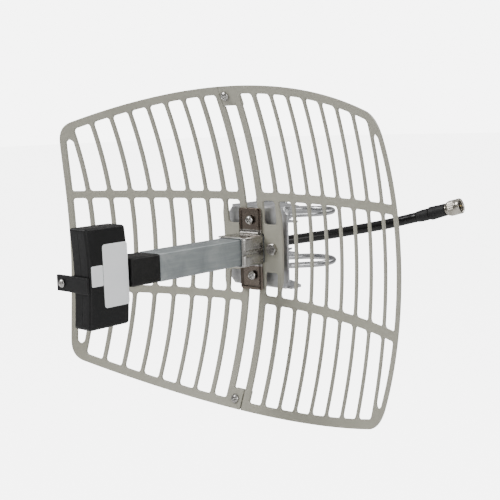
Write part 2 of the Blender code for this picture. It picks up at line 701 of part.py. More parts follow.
# the clamp's right half wraps the top, right and bottom of the arm
ct = 1.5                                    # clamp sheet
cl0, cl1 = ax0 - GAP, ax1 + GAP             # inner faces
cb, cu_ = az0 - GAP, az1 + GAP
C_Y0 = -33.0
tab_t = 1.3
TAB_TOP, TAB_BOT = 37.0, -39.5
tab_y1 = dish_y(cl0 - ct, TAB_BOT) - GAP    # rear face of the rear tab
f_y1 = tab_y1 - tab_t - GAP                 # rear face of the front tab
f_y0 = f_y1 - tab_t
hoop = [(-14.2, cb - ct), (cl1 + ct - 1.3, cb - ct), (cl1 + ct, cb - ct + 1.3),
        (cl1 + ct, cu_ + ct - 1.3), (cl1 + ct - 1.3, cu_ + ct), (-14.2, cu_ + ct),
        (-14.2, cu_), (cl1, cu_), (cl1, cb), (-14.2, cb)]
clamp_r = add("arm_clamp_right", prism("arm_clamp_right", [hoop], C_Y0, f_y1 - 0.2, 'Y'),
              dish_frame, STAINLESS)
# two pressed ribs along the right-hand side
for i, (z0, z1) in enumerate(((0.0, 11.0), (-13.2, -2.8))):
    lp = [(cl1 + ct - 0.5, z0), (cl1 + ct + 0.9, z0 + 1.6), (cl1 + ct + 0.9, z1 - 1.6),
          (cl1 + ct - 0.5, z1)]
    c = add(f"clamp_rib_{i}", prism("clamp_rib", [lp], C_Y0 + 1.0, f_y0 - 1.0, 'Y'),
            dish_frame, cutter=True)
    boolean(clamp_r, c, 'UNION')
for tag, x0, x1, z0, z1 in (("up", -12.2, 10.6, cu_ + 0.4, TAB_TOP),
                            ("dn", -12.6, 10.0, TAB_BOT, cb - 0.4)):
    ch = 2.2
    if z1 > 0:
        lp = [(x0, z0), (x1, z0), (x1, z1 - ch), (x1 - ch, z1), (x0 + ch, z1), (x0, z1 - ch)]
    else:
        lp = [(x0, z0 + ch), (x0 + ch, z0), (x1 - ch, z0), (x1, z0 + ch), (x1, z1), (x0, z1)]
    c = add("clamp_r_tab_" + tag, prism("clamp_tab", [lp], f_y0, f_y1, 'Y'),
            dish_frame, cutter=True)
    boolean(clamp_r, c, 'UNION')

# the left half covers the left side of the arm, with its tabs behind the others
clamp_l = add("arm_clamp_left", box_mesh("arm_clamp_left",
              (cl0 - ct, C_Y0, cb + 0.3), (cl0, tab_y1 - 0.2, cu_ - 0.3)),
              dish_frame, STAINLESS)
for tag, s in (("up", 1), ("dn", -1)):
    z_in, z_foot, z_out = ((cu_ - 1.6, cu_ + ct + GAP + 0.2, TAB_TOP + 0.2) if s > 0 else
                           (cb + 1.6, cb - ct - GAP - 0.2, TAB_BOT - 0.2))
    lp = [(cl0 - ct - 0.2, z_in), (cl0 - ct - 0.2, z_out), (12.8, z_out), (12.8, z_foot),
          (cl0 - 0.3, z_foot), (cl0 - 0.3, z_in)]
    c = add("clamp_l_tab_" + tag, prism("clamp_l_tab", [lp], tab_y1 - tab_t, tab_y1, 'Y'),
            dish_frame, cutter=True)
    boolean(clamp_l, c, 'UNION')
for tag, x, z in (("upper", 0.2, 26.0), ("lower", 1.6, -26.0)):
    for o in (clamp_l, clamp_r, dish_bracket):
        c = add(f"{o.name}_hole_{tag}", cyl_mesh("clamp_hole", 2.8, (x, -15, z), 30,
                'Y', 16), dish_frame, cutter=True)
        boolean(o, c)
    pan_screw("clamp_screw_" + tag, 4.3, 2.6, 2.35, 18.0, (x, f_y0 - GAP, z), FRONT,
              dish_frame, STAINLESS)
    nut("clamp_nut_" + tag, 8.0, 4.0, 2.6, (x, WEB_Y + SHEET + GAP, z), BACK,
        dish_frame, STAINLESS)

# --------------------------------------------------------- neck and feed head
mid_z, half_z = (HEAD_Z0 + HEAD_Z1) / 2, (HEAD_Z1 - HEAD_Z0) / 2
zs = [HEAD_Z0 + (HEAD_Z1 - HEAD_Z0) * i / 8 for i in range(9)]


def bow(z):
    return HEAD_BOW * (1 - ((z - mid_z) / half_z) ** 2)


NK = GAP + 0.2
neck = add("feed_sleeve", prism("feed_sleeve", [rect(ax0, ax1, az0, az1, 1.2)],
           NECK_Y0, ARM_Y0 - GAP, 'Y'), dish_frame, PLASTIC)
for tag, lp, y0, y1 in (
        ("_rear", rect(ax0 + w + NK, ax1 - w - NK, az0 + w + NK, az1 - w - NK, 0.8, 2),
         ARM_Y0 - 5, ARM_Y0 + 13),
        ("_front", rect(-7.6, 7.6, -9.5, 9.5, 0.8, 2), NECK_Y0 - 8.0, NECK_Y0 + 4)):
    c = add("feed_sleeve" + tag, prism("feed_sleeve" + tag, [lp], y0, y1, 'Y'),
            dish_frame, cutter=True)
    boolean(neck, c, 'UNION')
c = add("feed_sleeve_bore", cyl_mesh("feed_sleeve_bore", CABLE_R + GAP, (0, -180, 0), 80,
        'Y', 20), dish_frame, cutter=True)
boolean(neck, c)


def shell(name, side):
    """One half of the feed housing: an open tray facing the middle plane."""

    def build(tag, inset, open_to):
        bm = bmesh.new()
        rings = []
        lo, hi = HEAD_Z0 + inset, HEAD_Z1 - inset
        levels = [lo, lo + 1.6] + zs[1:-1] + [hi - 1.6, hi]
        for i, z in enumerate(levels):
            end = 1.3 if i in (0, len(levels) - 1) and not inset else 0.0
            h = HEAD_X - inset - end
            f = HEAD_Y0 + bow(z) + inset + end
            b = HEAD_Y1 + bow(z) - inset - end
            c = 1.8 if not inset else 0.8
            ring = [(open_to, f), (side * (h - c), f), (side * h, f + c),
                    (side * h, b - c), (side * (h - c), b), (open_to, b)]
            if side < 0:
                ring = list(reversed(ring))
            rings.append([bm.verts.new((x, y, z)) for x, y in ring])
        n = len(rings[0])
        for r0, r1 in zip(rings, rings[1:]):
            for i in range(n):
                j = (i + 1) % n
                bm.faces.new((r0[i], r0[j], r1[j], r1[i]))
        bm.faces.new(list(reversed(rings[0])))
        bm.faces.new(rings[-1])
        return bake(bm, name + tag, 30)

    ob = add(name, build("", 0.0, side * GAP / 2), dish_frame, PLASTIC)
    cav = add(name + "_cavity", build("_cavity", HEAD_WALL, -side * 2.0), dish_frame,
              cutter=True)
    boolean(ob, cav)
    # way in for the neck at the back
    c = add(name + "_neck_way", box_mesh("neck_way", (-7.6 - GAP, NECK_Y0 - 9, -9.5 - GAP),
            (7.6 + GAP, NECK_Y0 + 3, 9.5 + GAP)), dish_frame, cutter=True)
    boolean(ob, c)
    return ob


shell("feed_shell_right", 1)
shell("feed_shell_left", -1)

# what the head holds: splash plate at the front and the dipole board behind it
add("sub_reflector", prism("sub_reflector",
    [[(HEAD_Y0 + bow(z) + HEAD_WALL + 0.4, z) for z in (34.0, 18.0, 0.0, -20.0, -36.0)]
     + [(HEAD_Y0 + bow(z) + HEAD_WALL + 1.4, z) for z in (-36.0, -20.0, 0.0, 18.0, 34.0)]],
    -7.8, 7.8, 'X'), dish_frame, ALU)
board = add("dipole_board", box_mesh("dipole_board", (-0.8, HEAD_Y0 + 7.0, -33.0),
            (0.8, HEAD_Y1 - 3.5, 31.0)), dish_frame, BOARD)
for tag, y0, z0, z1 in (("neck", NECK_Y0 - 11.5, -11.0, 11.0), ("up", -186.0, 14.0, 24.0),
                        ("dn", -186.0, -26.0, -16.0)):
    c = add("board_notch_" + tag, box_mesh("board_notch", (-3, y0, z0), (3, -155.0, z1)),
            dish_frame, cutter=True)
    boolean(board, c)

# strap across the front of the head, with an ear and its screw
sy = HEAD_Y0 + bow(STRAP_Z0) - GAP          # rear face of the strap
strap = [(STRAP_X0, sy - 2.2), (STRAP_X1, sy - 1.7), (STRAP_X1, sy),
         (-HEAD_X - GAP, sy), (-HEAD_X - GAP, sy + 16.0), (-HEAD_X - GAP - 1.4, sy + 16.0),
         (-HEAD_X - GAP - 1.4, sy + 0.6), (STRAP_X0, sy + 0.4)]
strap_ob = add("housing_strap", prism("housing_strap", [strap], STRAP_Z0, STRAP_Z1, 'Z'),
               dish_frame, PLASTIC)
ear_x, ear_z = -21.3, -5.4
c = add("strap_hole", cyl_mesh("strap_hole", 2.2, (ear_x, -215, ear_z), 25, 'Y', 16),
        dish_frame, cutter=True)
boolean(strap_ob, c)
pan_screw("housing_screw", 3.5, 2.2, 1.7, 8.0, (ear_x, sy - 2.2 - GAP, ear_z), FRONT,
          dish_frame, STAINLESS)
nut("housing_nut", 6.4, 2.6, 1.95, (ear_x, sy + 0.6 + GAP, ear_z), BACK,
    dish_frame, STAINLESS)


# blank labels on the right-hand side of the head
def label(name, y0, y1, z0, z1, r):
    return add(name, prism(name, [rect(y0, y1, z0, z1, r, 3)], HEAD_X + 0.1, HEAD_X + 0.3, 'X'),
               dish_frame, LABEL)


# the large one follows the head's bowed rear edge
large = [(-188.3, -22.6), (-187.6, -24.3), (-185.9, -25.0)]
large += [(HEAD_Y1 + bow(z) - 1.9 - d, z) for z, d in
          ((-25.0, 2.4), (-24.3, 0.7), (-22.6, 0.0), (-12.0, 0.0), (0.0, 0.0), (12.0, 0.0),
           (23.0, 0.0), (24.7, 0.7), (25.4, 2.4))]
large += [(-185.9, 25.4), (-187.6, 24.7), (-188.3, 23.0)]
add("label_large", prism("label_large", [large], HEAD_X + 0.1, HEAD_X + 0.3, 'X'), dish_frame,
    LABEL)
label("label_small", -200.0, -188.7, -6.8, 9.5, 1.0)

# --------------------------------------------------------------------- cabling
add("inner_coax", tube_mesh("inner_coax", [(0, NECK_Y0 - 9.5, 0), (0, -120, 0), (0, -60, 0),
    (0, CABLE_ROUTE[0][1] - GAP, 0)], CABLE_R), dish_frame, RUBBER)
grommet = add("cable_grommet", turned_mesh("cable_grommet",
              [(CABLE_R + 0.3, 2.6), (9.6, 2.6), (9.6, 0.3), (7.7, 0.3),
               (7.7, -SHEET - 0.3), (9.6, -SHEET - 0.3), (9.6, -SHEET - 1.9),
               (CABLE_R + 0.3, -SHEET - 1.9), (CABLE_R + 0.3, 2.6)], 24),
              dish_frame, RUBBER, loc=(0, WEB_Y + SHEET, 0), rot=BACK)

route = smooth_route(list(CABLE_ROUTE) + [CABLE_END], 11.0)
start = Vector(CABLE_ROUTE[0])
route = [start, start + Vector((0, 3.0, 0))] + route[1:]
route[-1] = Vector(CABLE_END)
route.insert(-1, Vector(CABLE_END) - Vector(CONN_DIR).normalized() * 3.0)
add("pigtail_cable", tube_mesh("pigtail_cable", route, CABLE_R, 3), dish_frame, RUBBER)

# connector end: everything is turned about the cable's end direction
cdir = Vector(CONN_DIR).normalized()
conn_rot = cdir.to_track_quat('Z', 'Y').to_euler()


def on_conn(d):
    return Vector(CABLE_END) + cdir * d


def conn_turned(name, prof, at, finish, segs=24, holes=None):
    return add(name, turned_mesh(name, prof, segs), dish_frame, finish,
               loc=on_conn(at), rot=conn_rot)


g = GAP
conn_turned("shrink_tube", [(0, 13.4), (5.3, 13.4), (5.6, 12.6), (5.6, 1.4), (5.1, 0), (0, 0)],
            g, RUBBER)
conn_turned("boot_sleeve", [(0, 16.4), (5.7, 16.4), (6.3, 15.2), (6.4, 1.2), (5.8, 0), (0, 0)],
            13.4 + 2 * g, RUBBER)
c0 = 13.4 + 16.4 + 3 * g
conn_turned("connector_body",
            [(0, 11.4), (2.2, 11.4), (2.2, 4.4), (3.9, 4.4), (3.9, 13.0), (4.7, 13.0),
             (4.7, 1.4), (4.9, 1.4), (4.9, 0), (0, 0)],
            c0, NICKEL, 24)
conn_turned("contact_pin", [(0, 15.0), (0.45, 14.6), (0.7, 13.8), (0.7, 11.7), (0, 11.7)],
            c0, BRASS, 12)
nut_at = c0 + 1.4 + g
conn_turned("coupling_nut", [(5.0, 13.4), (6.7, 13.4), (7.25, 12.9), (7.25, 11.0),
            (7.25, 3.0), (6.9, 1.6), (6.3, 0.9), (6.3, 0), (5.0, 0), (5.0, 13.4)],
            nut_at, NICKEL, 24)

# -------------------------------------------------------------- mast bracket
mx, my = PIVOT_CLAMP
mb = [(-MB_X, MB_WEB_Y + 2), (-MB_X, MB_WEB_Y - 7.0), (-6.0, MB_WEB_Y - 9.0)]
mb += list(reversed(arc(mx, my, LOBE_R, -180, 0, 12)))[::-1]
mb += [(MB_X + 0.1, MB_WEB_Y + 2)]
mast_bracket = add("mast_bracket", prism("mast_bracket",
                   [rev(u_profile(MB_WEB_Y, my - LOBE_R - 1, MB_Z, SHEET, -1))],
                   -MB_X - 1, MB_X + 1, 'X'), clamp_frame, ZINC)
plan = add("mast_bracket_plan", prism("mast_bracket_plan", [mb], -60, 60, 'Z'),
           clamp_frame, cutter=True)
boolean(mast_bracket, plan, 'INTERSECT')
c = add("mast_pivot_hole", cyl_mesh("mast_pivot_hole", 3.4, (mx, my, -60), 120, 'Z', 20),
        clamp_frame, cutter=True)
boolean(mast_bracket, c)
ub_x = UB_IN + UB_ROD
for i, z in enumerate(UB_Z):
    for s in (1, -1):
        c = add(f"u_bolt_hole_{i}_{s}", cyl_mesh("u_bolt_hole", UB_ROD + 0.4,
                (s * ub_x, MB_WEB_Y - 8, z), 16, 'Y', 16), clamp_frame, cutter=True)
        boolean(mast_bracket, c)

# V saddle between the bracket and the mast
v_gap = (MAST_R + GAP) / math.cos(math.radians(30))
sad_x, sad_z = 18.0, 17.0
base = MB_WEB_Y + GAP
tip = -v_gap + sad_x * math.tan(math.radians(30))
saddle = add("mast_saddle", prism("mast_saddle",
             [u_profile(base, tip + 1, sad_z, 2.0)], -sad_x - 1, sad_x + 1, 'X'),
             clamp_frame, ZINC)
teeth = []
n = 9
for i in range(n + 1):
    x = sad_x * (1 - i / n)
    y = -v_gap + x * math.tan(math.radians(30))
    teeth.append((x, y))
    if i < n:
        xm = sad_x * (1 - (i + 0.5) / n)
        teeth.append((xm + 0.3, -v_gap + xm * math.tan(math.radians(30)) - 0.8))
vee = [(-sad_x, base - 2), (sad_x, base - 2)] + teeth + [(-x, y) for x, y in teeth[-2::-1]]
plan = add("mast_saddle_plan", prism("mast_saddle_plan", [vee], -40, 40, 'Z'),
           clamp_frame, cutter=True)
boolean(saddle, plan, 'INTERSECT')

# U-bolts, washers and nuts
bend_y = -(UB_IN - MAST_R) + GAP
for tag, z in (("upper", UB_Z[0]), ("lower", UB_Z[1])):
    pts = [(-ub_x, UB_LEG_END, z), (-ub_x, -20.0, z)]
    pts += [(x, y, z) for x, y in arc(0, bend_y, ub_x, 180, 0, 16)]
    pts += [(ub_x, -20.0, z), (ub_x, UB_LEG_END, z)]
    add("u_bolt_" + tag, tube_mesh("u_bolt", pts, UB_ROD, 2), clamp_frame, ZINC)
    for side, s in (("left", -1), ("right", 1)):
        y0 = MB_WEB_Y - SHEET - GAP
        washer(f"u_washer_{tag}_{side}", 6.0, UB_ROD + 0.35, 1.4, (s * ub_x, y0, z),
               FRONT, clamp_frame, ZINC)
        nut(f"u_nut_{tag}_{side}", 10.0, 5.0, UB_ROD + 0.35,
            (s * ub_x, y0 - 1.4 - GAP, z), FRONT, clamp_frame, ZINC)

# pivot bolts through the ears of both brackets
for tag, rot, s in (("top", UP, 1), ("bottom", DOWN, -1)):
    hex_bolt("pivot_bolt_" + tag, 10.0, 3.8, 2.95, 13.4, (mx, my, s * (MB_Z + GAP)), rot,
             clamp_frame, ZINC, washer=0.8)
    nut("pivot_nut_" + tag, 10.0, 5.0, 3.25,
        (mx, my, s * (BRKT_Z - SHEET - GAP - 5.0)), rot, clamp_frame, ZINC)

bpy.context.view_layer.update()
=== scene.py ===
"""Looks of the grid dish antenna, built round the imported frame. Lengths in mm until put in place."""
import math
import bpy
import bmesh
from mathutils import Vector, Matrix, geometry, noise


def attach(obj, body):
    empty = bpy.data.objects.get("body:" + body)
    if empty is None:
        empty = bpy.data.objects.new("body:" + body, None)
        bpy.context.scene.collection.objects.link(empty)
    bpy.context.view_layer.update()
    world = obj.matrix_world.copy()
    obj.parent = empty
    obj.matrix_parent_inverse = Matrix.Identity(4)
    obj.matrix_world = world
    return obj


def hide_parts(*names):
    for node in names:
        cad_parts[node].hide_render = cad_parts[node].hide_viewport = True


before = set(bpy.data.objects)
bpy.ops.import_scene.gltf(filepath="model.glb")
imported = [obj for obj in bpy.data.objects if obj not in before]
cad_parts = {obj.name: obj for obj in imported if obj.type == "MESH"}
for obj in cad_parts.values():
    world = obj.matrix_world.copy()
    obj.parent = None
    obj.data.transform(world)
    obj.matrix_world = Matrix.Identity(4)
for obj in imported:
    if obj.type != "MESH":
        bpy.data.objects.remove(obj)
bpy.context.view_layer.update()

MM = 0.001
sc = bpy.context.scene

# ------------------------------------------------------------------- numbers
GAP = 0.3
FOCAL, FLAT_R = 161.4, 36.0
HALF_W, HALF_H = 200.0, 148.4
TOP_A, TOP_B = 0.835e-3, 0.092e-8
SIDE_A, SIDE_B = 0.5305e-3, 1.868e-8
CORNER_X, CORNER_Z = 176.0, 101.0
CAST_T = 2.6
RIM_W, RIM_SIDE_W = 7.0, 5.4
BAR_W, BAR_PITCH, FIRST_BAR_X, BARS = 3.5, 20.75, 32.7, 8
INNER_X0, INNER_X1 = 6.9, 14.3
RIB_Z0, RIB_Z1 = 44.4, 51.9
PLATE_X1, PLATE_Z = 36.0, 22.3
PLATE_CH0, PLATE_CH1 = 31.0, 39.0
SLOT_R = 3.2
ARM_NOTCH_X, ARM_NOTCH_Z = 13.9, 13.0
LUG_X_TOP, LUG_X_BOTTOM, LUG_Z = -8.3, 5.3, 131.2
LUG_HOLE_X, LUG_HOLE_Z = -2.4, 139.6
PAD_T, LAP_T = 4.5, 2.1
PLATE_BOLT_X = 24.8
ARM_X, ARM_Z, ARM_W, ARM_H, ARM_WALL = 0.4, -0.5, 26.0, 23.7, 1.6
ARM_Y0, ARM_Y1, NECK_Y0 = -131.0, 4.7, -161.5
HEAD_X, HEAD_Z0, HEAD_Z1, HEAD_Y0, HEAD_Y1, HEAD_BOW, HEAD_WALL = 10.3, -41.0, 38.9, -204.0, -164.0, 2.2, 2.0
STRAP_Z0, STRAP_Z1, STRAP_X0, STRAP_X1 = -12.0, 1.0, -28.6, 10.4
WEB_Y, SHEET = 5.0, 2.5
BRKT_Z = 38.3
PIVOT_DISH, PIVOT_CLAMP, CLAMP_DEG = (-23.7, 48.9), (24.0, -45.3), -40.0
MB_WEB_Y, MB_Z = -28.0, 41.2
MAST_R, UB_IN, UB_ROD, UB_Z, UB_LEG_END = 21.1, 25.4, 3.0, (24.2, -26.6), -41.5
CABLE_R = 4.8
CABLE_ROUTE = ((0.0, 11.2, 0.0), (0.2, 18.0, 0.2), (2.2, 27.0, 0.9), (9.4, 40.5, 2.4),
               (20.6, 54.5, 4.0), (34.6, 69.0, 6.2), (50.4, 82.0, 9.2),
               (67.0, 93.4, 12.4), (84.4, 103.2, 16.2), (100.0, 109.8, 20.3))
CABLE_END = (107.6, 112.2, 22.3)
CONN_DIR = (0.960, 0.100, 0.262)

T_CLAMP = Matrix.Rotation(math.radians(CLAMP_DEG), 4, 'Z')
_p = T_CLAMP @ Vector((PIVOT_CLAMP[0], PIVOT_CLAMP[1], 0)) - Vector((PIVOT_DISH[0], PIVOT_DISH[1], 0))
T_DISH = Matrix.Translation(_p)

# -------------------------------------------------------------------- camera
fwd = Vector((-0.665, 0.7337, -0.138)).normalized()
roll = math.radians(-1.78)
r_ = fwd.cross(Vector((0, 0, 1))).normalized()
u_ = r_.cross(fwd)
right = r_ * math.cos(roll) + u_ * math.sin(roll)
up = -r_ * math.sin(roll) + u_ * math.cos(roll)
M = Matrix((right, up, -fwd)).transposed().to_4x4()
M.translation = Vector((0.5807, -0.7315, 0.1157))
cam = bpy.data.objects.new("camera", bpy.data.cameras.new("camera"))
sc.collection.objects.link(cam)
cam.matrix_world = M
cam.data.lens = 65.87
cam.data.sensor_width = 36.0
cam.data.clip_start = 0.01
cam.data.dof.use_dof = False
sc.camera = cam


# ----------------------------------------------------------------- materials
class Nodes:
    """Short names for building a node material."""

    def __init__(self, name):
        self.m = bpy.data.materials.new(name)
        self.m.use_nodes = True
        self.t = self.m.node_tree
        self.b = self.t.nodes.get("Principled BSDF")
        self.coord = self.t.nodes.new("ShaderNodeTexCoord").outputs["Object"]

    def map(self, scale, rot=(0, 0, 0)):
        n = self.t.nodes.new("ShaderNodeMapping")
        n.inputs["Scale"].default_value = scale
        n.inputs["Rotation"].default_value = rot
        self.t.links.new(self.coord, n.inputs["Vector"])
        return n.outputs[0]

    def noise(self, scale, detail=3.0, rough=0.5, vec=None, distort=0.0):
        n = self.t.nodes.new("ShaderNodeTexNoise")
        n.inputs["Scale"].default_value = scale
        n.inputs["Detail"].default_value = detail
        n.inputs["Roughness"].default_value = rough
        n.inputs["Distortion"].default_value = distort
        self.t.links.new(vec or self.coord, n.inputs["Vector"])
        return n.outputs["Fac"]

    def voronoi(self, scale, vec=None, feature='F1', out="Distance"):
        n = self.t.nodes.new("ShaderNodeTexVoronoi")
        n.feature = feature
        n.inputs["Scale"].default_value = scale
        self.t.links.new(vec or self.coord, n.inputs["Vector"])
        return n.outputs[out]

    def ramp(self, fac, stops):
        n = self.t.nodes.new("ShaderNodeValToRGB")
        e = n.color_ramp.elements
        while len(e) < len(stops):
            e.new(0.5)
        for k, (pos, col) in zip(e, stops):
            k.position = pos
            k.color = (*col, 1.0) if hasattr(col, "__len__") else (col, col, col, 1.0)
        self.t.links.new(fac, n.inputs["Fac"])
        return n.outputs["Color"]

    def mix(self, fac, a, b, how='MIX'):
        n = self.t.nodes.new("ShaderNodeMix")
        n.data_type = 'RGBA'
        n.blend_type = how
        if isinstance(fac, float):
            n.inputs["Factor"].default_value = fac
        else:
            self.t.links.new(fac, n.inputs["Factor"])
        for key, v in ((6, a), (7, b)):
            if hasattr(v, "is_linked") or hasattr(v, "node"):
                self.t.links.new(v, n.inputs[key])
            else:
                n.inputs[key].default_value = (*v, 1.0)
        return n.outputs[2]

    def math(self, op, a, b=0.5):
        n = self.t.nodes.new("ShaderNodeMath")
        n.operation = op
        for i, v in enumerate((a, b)):
            if isinstance(v, (int, float)):
                n.inputs[i].default_value = v
            else:
                self.t.links.new(v, n.inputs[i])
        return n.outputs[0]

    def bump(self, height, strength, distance, base=None):
        n = self.t.nodes.new("ShaderNodeBump")
        n.inputs["Strength"].default_value = strength
        n.inputs["Distance"].default_value = distance
        self.t.links.new(height, n.inputs["Height"])
        if base is not None:
            self.t.links.new(base, n.inputs["Normal"])
        return n.outputs[0]

    def edge(self, lo=0.52, hi=0.60):
        n = self.t.nodes.new("ShaderNodeNewGeometry")
        return self.ramp(n.outputs["Pointiness"], [(lo, 0.0), (hi, 1.0)])

    def set(self, color=None, rough=None, normal=None, **fixed):
        for key, v in (("Base Color", color), ("Roughness", rough), ("Normal", normal)):
            if v is None:
                continue
            if isinstance(v, (int, float)):
                self.b.inputs[key].default_value = v
            elif isinstance(v, tuple):
                self.b.inputs[key].default_value = (*v, 1.0)
            else:
                self.t.links.new(v, self.b.inputs[key])
        for key, v in fixed.items():
            self.b.inputs[key.replace("_", " ")].default_value = v
        return self.m


def mat_paint():
    n = Nodes("cast_paint")
    big = n.noise(9.0, 3.0, 0.55)
    fine = n.noise(420.0, 2.0, 0.6)
    base = n.ramp(big, [(0.30, (0.292, 0.283, 0.231)), (0.70, (0.338, 0.328, 0.271))])
    base = n.mix(n.ramp(fine, [(0.55, 0.0), (0.78, 0.22)]), base, (0.23, 0.22, 0.18))
    worn = n.math('MULTIPLY', n.edge(0.53, 0.62), n.ramp(n.noise(60.0, 4.0, 0.6), [(0.45, 0.0), (0.7, 0.45)]))
    base = n.mix(worn, base, (0.46, 0.455, 0.40))
    rough = n.ramp(n.noise(35.0, 3.0), [(0.3, 0.36), (0.7, 0.46)])
    peel = n.bump(n.noise(520.0, 2.0, 0.5), 0.16, 0.00025)
    cast = n.bump(n.noise(90.0, 3.0, 0.6), 0.10, 0.0006, peel)
    return n.set(base, rough, cast, IOR=1.5)


def mat_alu():
    n = Nodes("arm_aluminium")
    streak = n.noise(60.0, 4.0, 0.6, n.map((9.0, 0.55, 9.0)))
    cloud = n.noise(46.0, 4.0, 0.62, distort=0.8)
    stain = n.noise(21.0, 3.0, 0.5)
    base = n.ramp(cloud, [(0.30, (0.26, 0.29, 0.305)), (0.50, (0.33, 0.36, 0.37)), (0.72, (0.43, 0.455, 0.46))])
    base = n.mix(n.ramp(streak, [(0.40, 0.0), (0.75, 0.30)]), base, (0.60, 0.62, 0.62))
    base = n.mix(n.ramp(stain, [(0.52, 0.0), (0.72, 0.26)]), base, (0.27, 0.30, 0.32))
    rough = n.ramp(n.mix(0.5, streak, cloud), [(0.3, 0.46), (0.7, 0.60)])
    scratch = n.bump(n.noise(300.0, 3.0, 0.7, n.map((6.0, 0.25, 6.0))), 0.20, 0.00012)
    return n.set(base, rough, n.bump(cloud, 0.10, 0.0003, scratch), Metallic=0.82)


def mat_plastic(name, tone, r0, r1, grain, wear=0.35):
    n = Nodes(name)
    big = n.noise(30.0, 3.0, 0.5)
    base = n.ramp(big, [(0.3, tuple(c * 0.85 for c in tone)), (0.7, tuple(c * 1.2 for c in tone))])
    scuff = n.math('MULTIPLY', n.edge(0.53, 0.60), n.ramp(n.noise(140.0, 4.0, 0.6), [(0.42, 0.0), (0.66, wear)]))
    base = n.mix(scuff, base, (0.030, 0.031, 0.033))
    dust = n.ramp(n.noise(900.0, 2.0, 0.7), [(0.68, 0.0), (0.80, 0.25)])
    base = n.mix(dust, base, (0.035, 0.035, 0.037))
    rough = n.ramp(n.noise(55.0, 3.0), [(0.3, r0), (0.7, r1)])
    tex = n.bump(n.voronoi(grain), 0.22, 0.00012)
    return n.set(base, rough, n.bump(n.noise(70.0, 2.0), 0.06, 0.0005, tex), IOR=1.48,
                 **{"Specular IOR Level": 0.34})


def mat_zinc_sheet():
    n = Nodes("zinc_sheet")
    cloud = n.noise(55.0, 4.0, 0.6, distort=0.4)
    base = n.ramp(cloud, [(0.32, (0.40, 0.405, 0.415)), (0.68, (0.54, 0.543, 0.555))])
    base = n.mix(n.ramp(n.noise(26.0, 2.0), [(0.5, 0.0), (0.75, 0.18)]), base, (0.56, 0.54, 0.50))
    worn = n.math('MULTIPLY', n.edge(0.52, 0.60), n.ramp(n.noise(160.0, 3.0), [(0.4, 0.1), (0.7, 0.6)]))
    base = n.mix(worn, base, (0.78, 0.78, 0.79))
    rough = n.ramp(cloud, [(0.3, 0.36), (0.7, 0.50)])
    roll_ = n.bump(n.noise(240.0, 3.0, 0.6, n.map((0.4, 3.0, 3.0))), 0.14, 0.00015)
    return n.set(base, rough, n.bump(cloud, 0.10, 0.0003, roll_), Metallic=0.75)


def mat_metal(name, dark, light, r0, r1, cloud_scale=90.0, bump=0.12, metallic=1.0, tint=None, crease_shade_amount=0.35,
              outer=None):
    n = Nodes(name)
    cloud = n.noise(cloud_scale, 4.0, 0.6, distort=0.5)
    base = n.ramp(cloud, [(0.30, dark), (0.70, light)])
    if tint:
        base = n.mix(n.ramp(n.noise(cloud_scale * 0.4, 3.0), [(0.46, 0.0), (0.66, tint[1])]), base, tint[0])
    if outer:
        # painted reflection: the colour turns darker brown beyond a height above and below the middle, standing in for
        # the warm dark surroundings the clamp's tabs reflect
        sep = n.t.nodes.new("ShaderNodeSeparateXYZ")
        n.t.links.new(n.coord, sep.inputs[0])
        far = n.math('MULTIPLY', n.math('MULTIPLY', sep.outputs["Z"], sep.outputs["Z"]), 1000.0)
        h = outer[0]
        base = n.mix(n.ramp(far, [(h * h * 1000.0, 0.0), ((h + 0.001) ** 2 * 1000.0, 0.85)]), base, outer[1])
    # painted shade: the colour goes darker in hollows, creases and inner corners, where shade falls
    low = n.t.nodes.new("ShaderNodeNewGeometry").outputs["Pointiness"]
    crease_shade_mask = n.ramp(low, [(0.40, crease_shade_amount), (0.49, 0.0)])
    base = n.mix(crease_shade_mask, base, tuple(c * 0.25 for c in dark))
    rough = n.ramp(n.noise(cloud_scale * 1.7, 3.0), [(0.3, r0), (0.7, r1)])
    tex = n.bump(n.noise(cloud_scale * 6.0, 3.0, 0.6), bump, 0.00012)
    return n.set(base, rough, n.bump(cloud, bump * 0.7, 0.0003, tex), Metallic=metallic)


def mat_label():
    n = Nodes("label_film")
    fibre = n.noise(700.0, 3.0, 0.6)
    base = n.ramp(n.noise(26.0, 3.0), [(0.3, (0.82, 0.84, 0.86)), (0.7, (0.88, 0.89, 0.90))])
    base = n.mix(n.ramp(fibre, [(0.55, 0.0), (0.8, 0.16)]), base, (0.55, 0.57, 0.60))
    rough = n.ramp(n.noise(90.0, 2.0), [(0.3, 0.32), (0.7, 0.44)])
    return n.set(base, rough, n.bump(fibre, 0.05, 0.0001), IOR=1.45)


def mat_board():
    n = Nodes("circuit_board")
    weave = n.t.nodes.new("ShaderNodeTexChecker")
    weave.inputs["Scale"].default_value = 900.0
    n.t.links.new(n.coord, weave.inputs["Vector"])
    base = n.mix(weave.outputs["Fac"], (0.02, 0.10, 0.04), (0.025, 0.125, 0.05))
    base = n.mix(n.ramp(n.voronoi(160.0, feature='DISTANCE_TO_EDGE'), [(0.02, 0.5), (0.05, 0.0)]), base, (0.45, 0.25, 0.10))
    return n.set(base, n.ramp(n.noise(60.0), [(0.3, 0.35), (0.7, 0.5)]), n.bump(weave.outputs["Fac"], 0.05, 0.0001))


